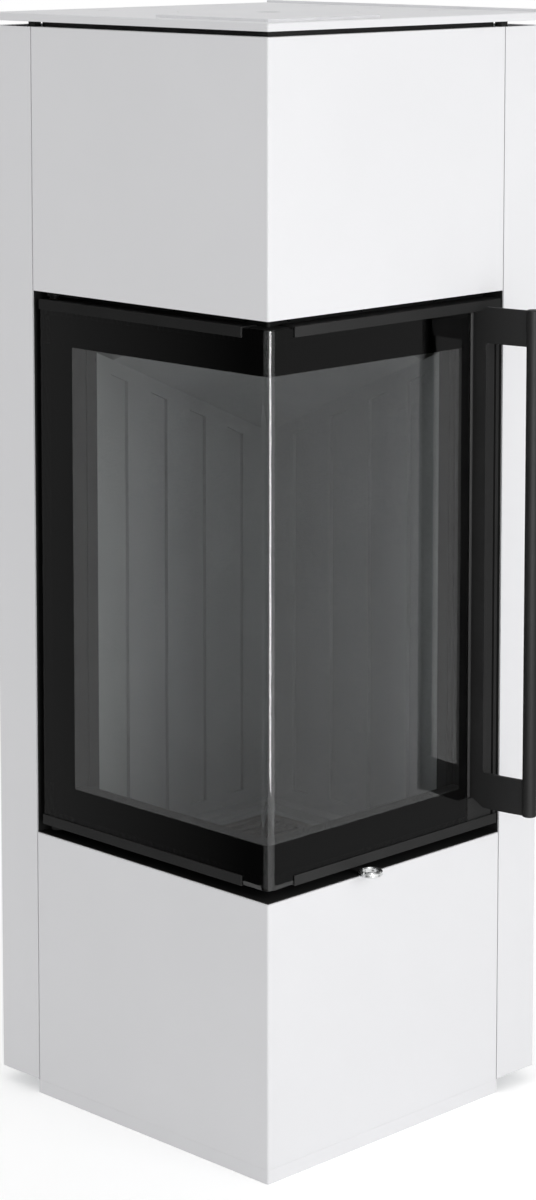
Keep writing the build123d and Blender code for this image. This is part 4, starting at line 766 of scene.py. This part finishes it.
def soft_lamp(name, place, target, size, watts):
    """An area lamp that points at a target and isn't seen itself."""
    data = bpy.data.lights.new(name, "AREA")
    data.shape = "RECTANGLE"
    data.size, data.size_y = size
    data.energy = watts
    lamp = bpy.data.objects.new(name, data)
    bpy.context.scene.collection.objects.link(lamp)
    lamp.location = place
    lamp.rotation_euler = (Vector(target) - Vector(place)).to_track_quat("-Z", "Y").to_euler()
    lamp.visible_camera = False
    return lamp


def reflected_card(name, ends, fade, levels):
    """An upright card beside the stove that is seen only in gloss. Its brightness goes from the
    first level to the second between the two places along X that fade gives."""
    material = bpy.data.materials.new(name)
    tree = start_tree(material)
    place = add_node(tree, "ShaderNodeTexCoord")
    spot = add_node(tree, "ShaderNodeSeparateXYZ", links={"Vector": place.outputs["Object"]})
    level = add_node(tree, "ShaderNodeMapRange",
                     {"From Min": fade[0], "From Max": fade[1], "To Min": levels[0], "To Max": levels[1]},
                     {"Value": spot.outputs["X"]})
    glow = add_node(tree, "ShaderNodeEmission", {"Color": WHITE}, {"Strength": level.outputs["Result"]})
    add_node(tree, "ShaderNodeOutputMaterial", links={"Surface": glow.outputs["Emission"]})
    (x0, y0), (x1, y1) = ends
    corners = [(x0, y0, 0), (x1, y1, 0), (x1, y1, CARD_HEIGHT), (x0, y0, CARD_HEIGHT)]
    card = flat_sheet(name, corners, material)
    card.visible_camera = False
    card.visible_diffuse = False
    card.visible_transmission = False
    card.visible_shadow = False


def hang_softbox():
    """The lamp that makes the right panels the brighter ones. It is kept out of gloss, so that the
    glass doesn't mirror it."""
    softbox = soft_lamp("right_softbox", SOFTBOX_PLACE, SOFTBOX_TARGET, SOFTBOX_SIZE, SOFTBOX_WATTS)
    softbox.visible_glossy = False


def hang_strip():
    """The narrow lamp that draws the highlight down the bend of the glass. It shows only in gloss."""
    x, y = STRIP_PLACE
    middle = (STRIP_FOOT + CARD_HEIGHT) / 2
    strip = soft_lamp("strip_softbox", (x, y, middle), (0, y, middle),
                      (STRIP_WIDTH, CARD_HEIGHT - STRIP_FOOT), STRIP_WATTS)
    strip.visible_diffuse = False
    strip.visible_transmission = False


def set_camera():
    """Make the camera and give it to the scene."""
    data = bpy.data.cameras.new("camera")
    data.sensor_width = SENSOR
    data.lens = LENS
    data.shift_y = FRAMING_SHIFT
    camera = bpy.data.objects.new("camera", data)
    bpy.context.scene.collection.objects.link(camera)
    camera.location = CAMERA_PLACE
    camera.rotation_euler = (math.radians(90 - CAMERA_PITCH), 0.0, math.radians(CAMERA_TURN))
    bpy.context.scene.camera = camera


light_room()
lay_floor()
hang_softbox()
reflected_card("left_card", LEFT_CARD_ENDS, LEFT_CARD_FADE, LEFT_CARD_LEVELS)
reflected_card("right_card", RIGHT_CARD_ENDS, RIGHT_CARD_FADE, RIGHT_CARD_LEVELS)
hang_strip()
set_camera()
bpy.context.scene.view_settings.view_transform = "Standard"
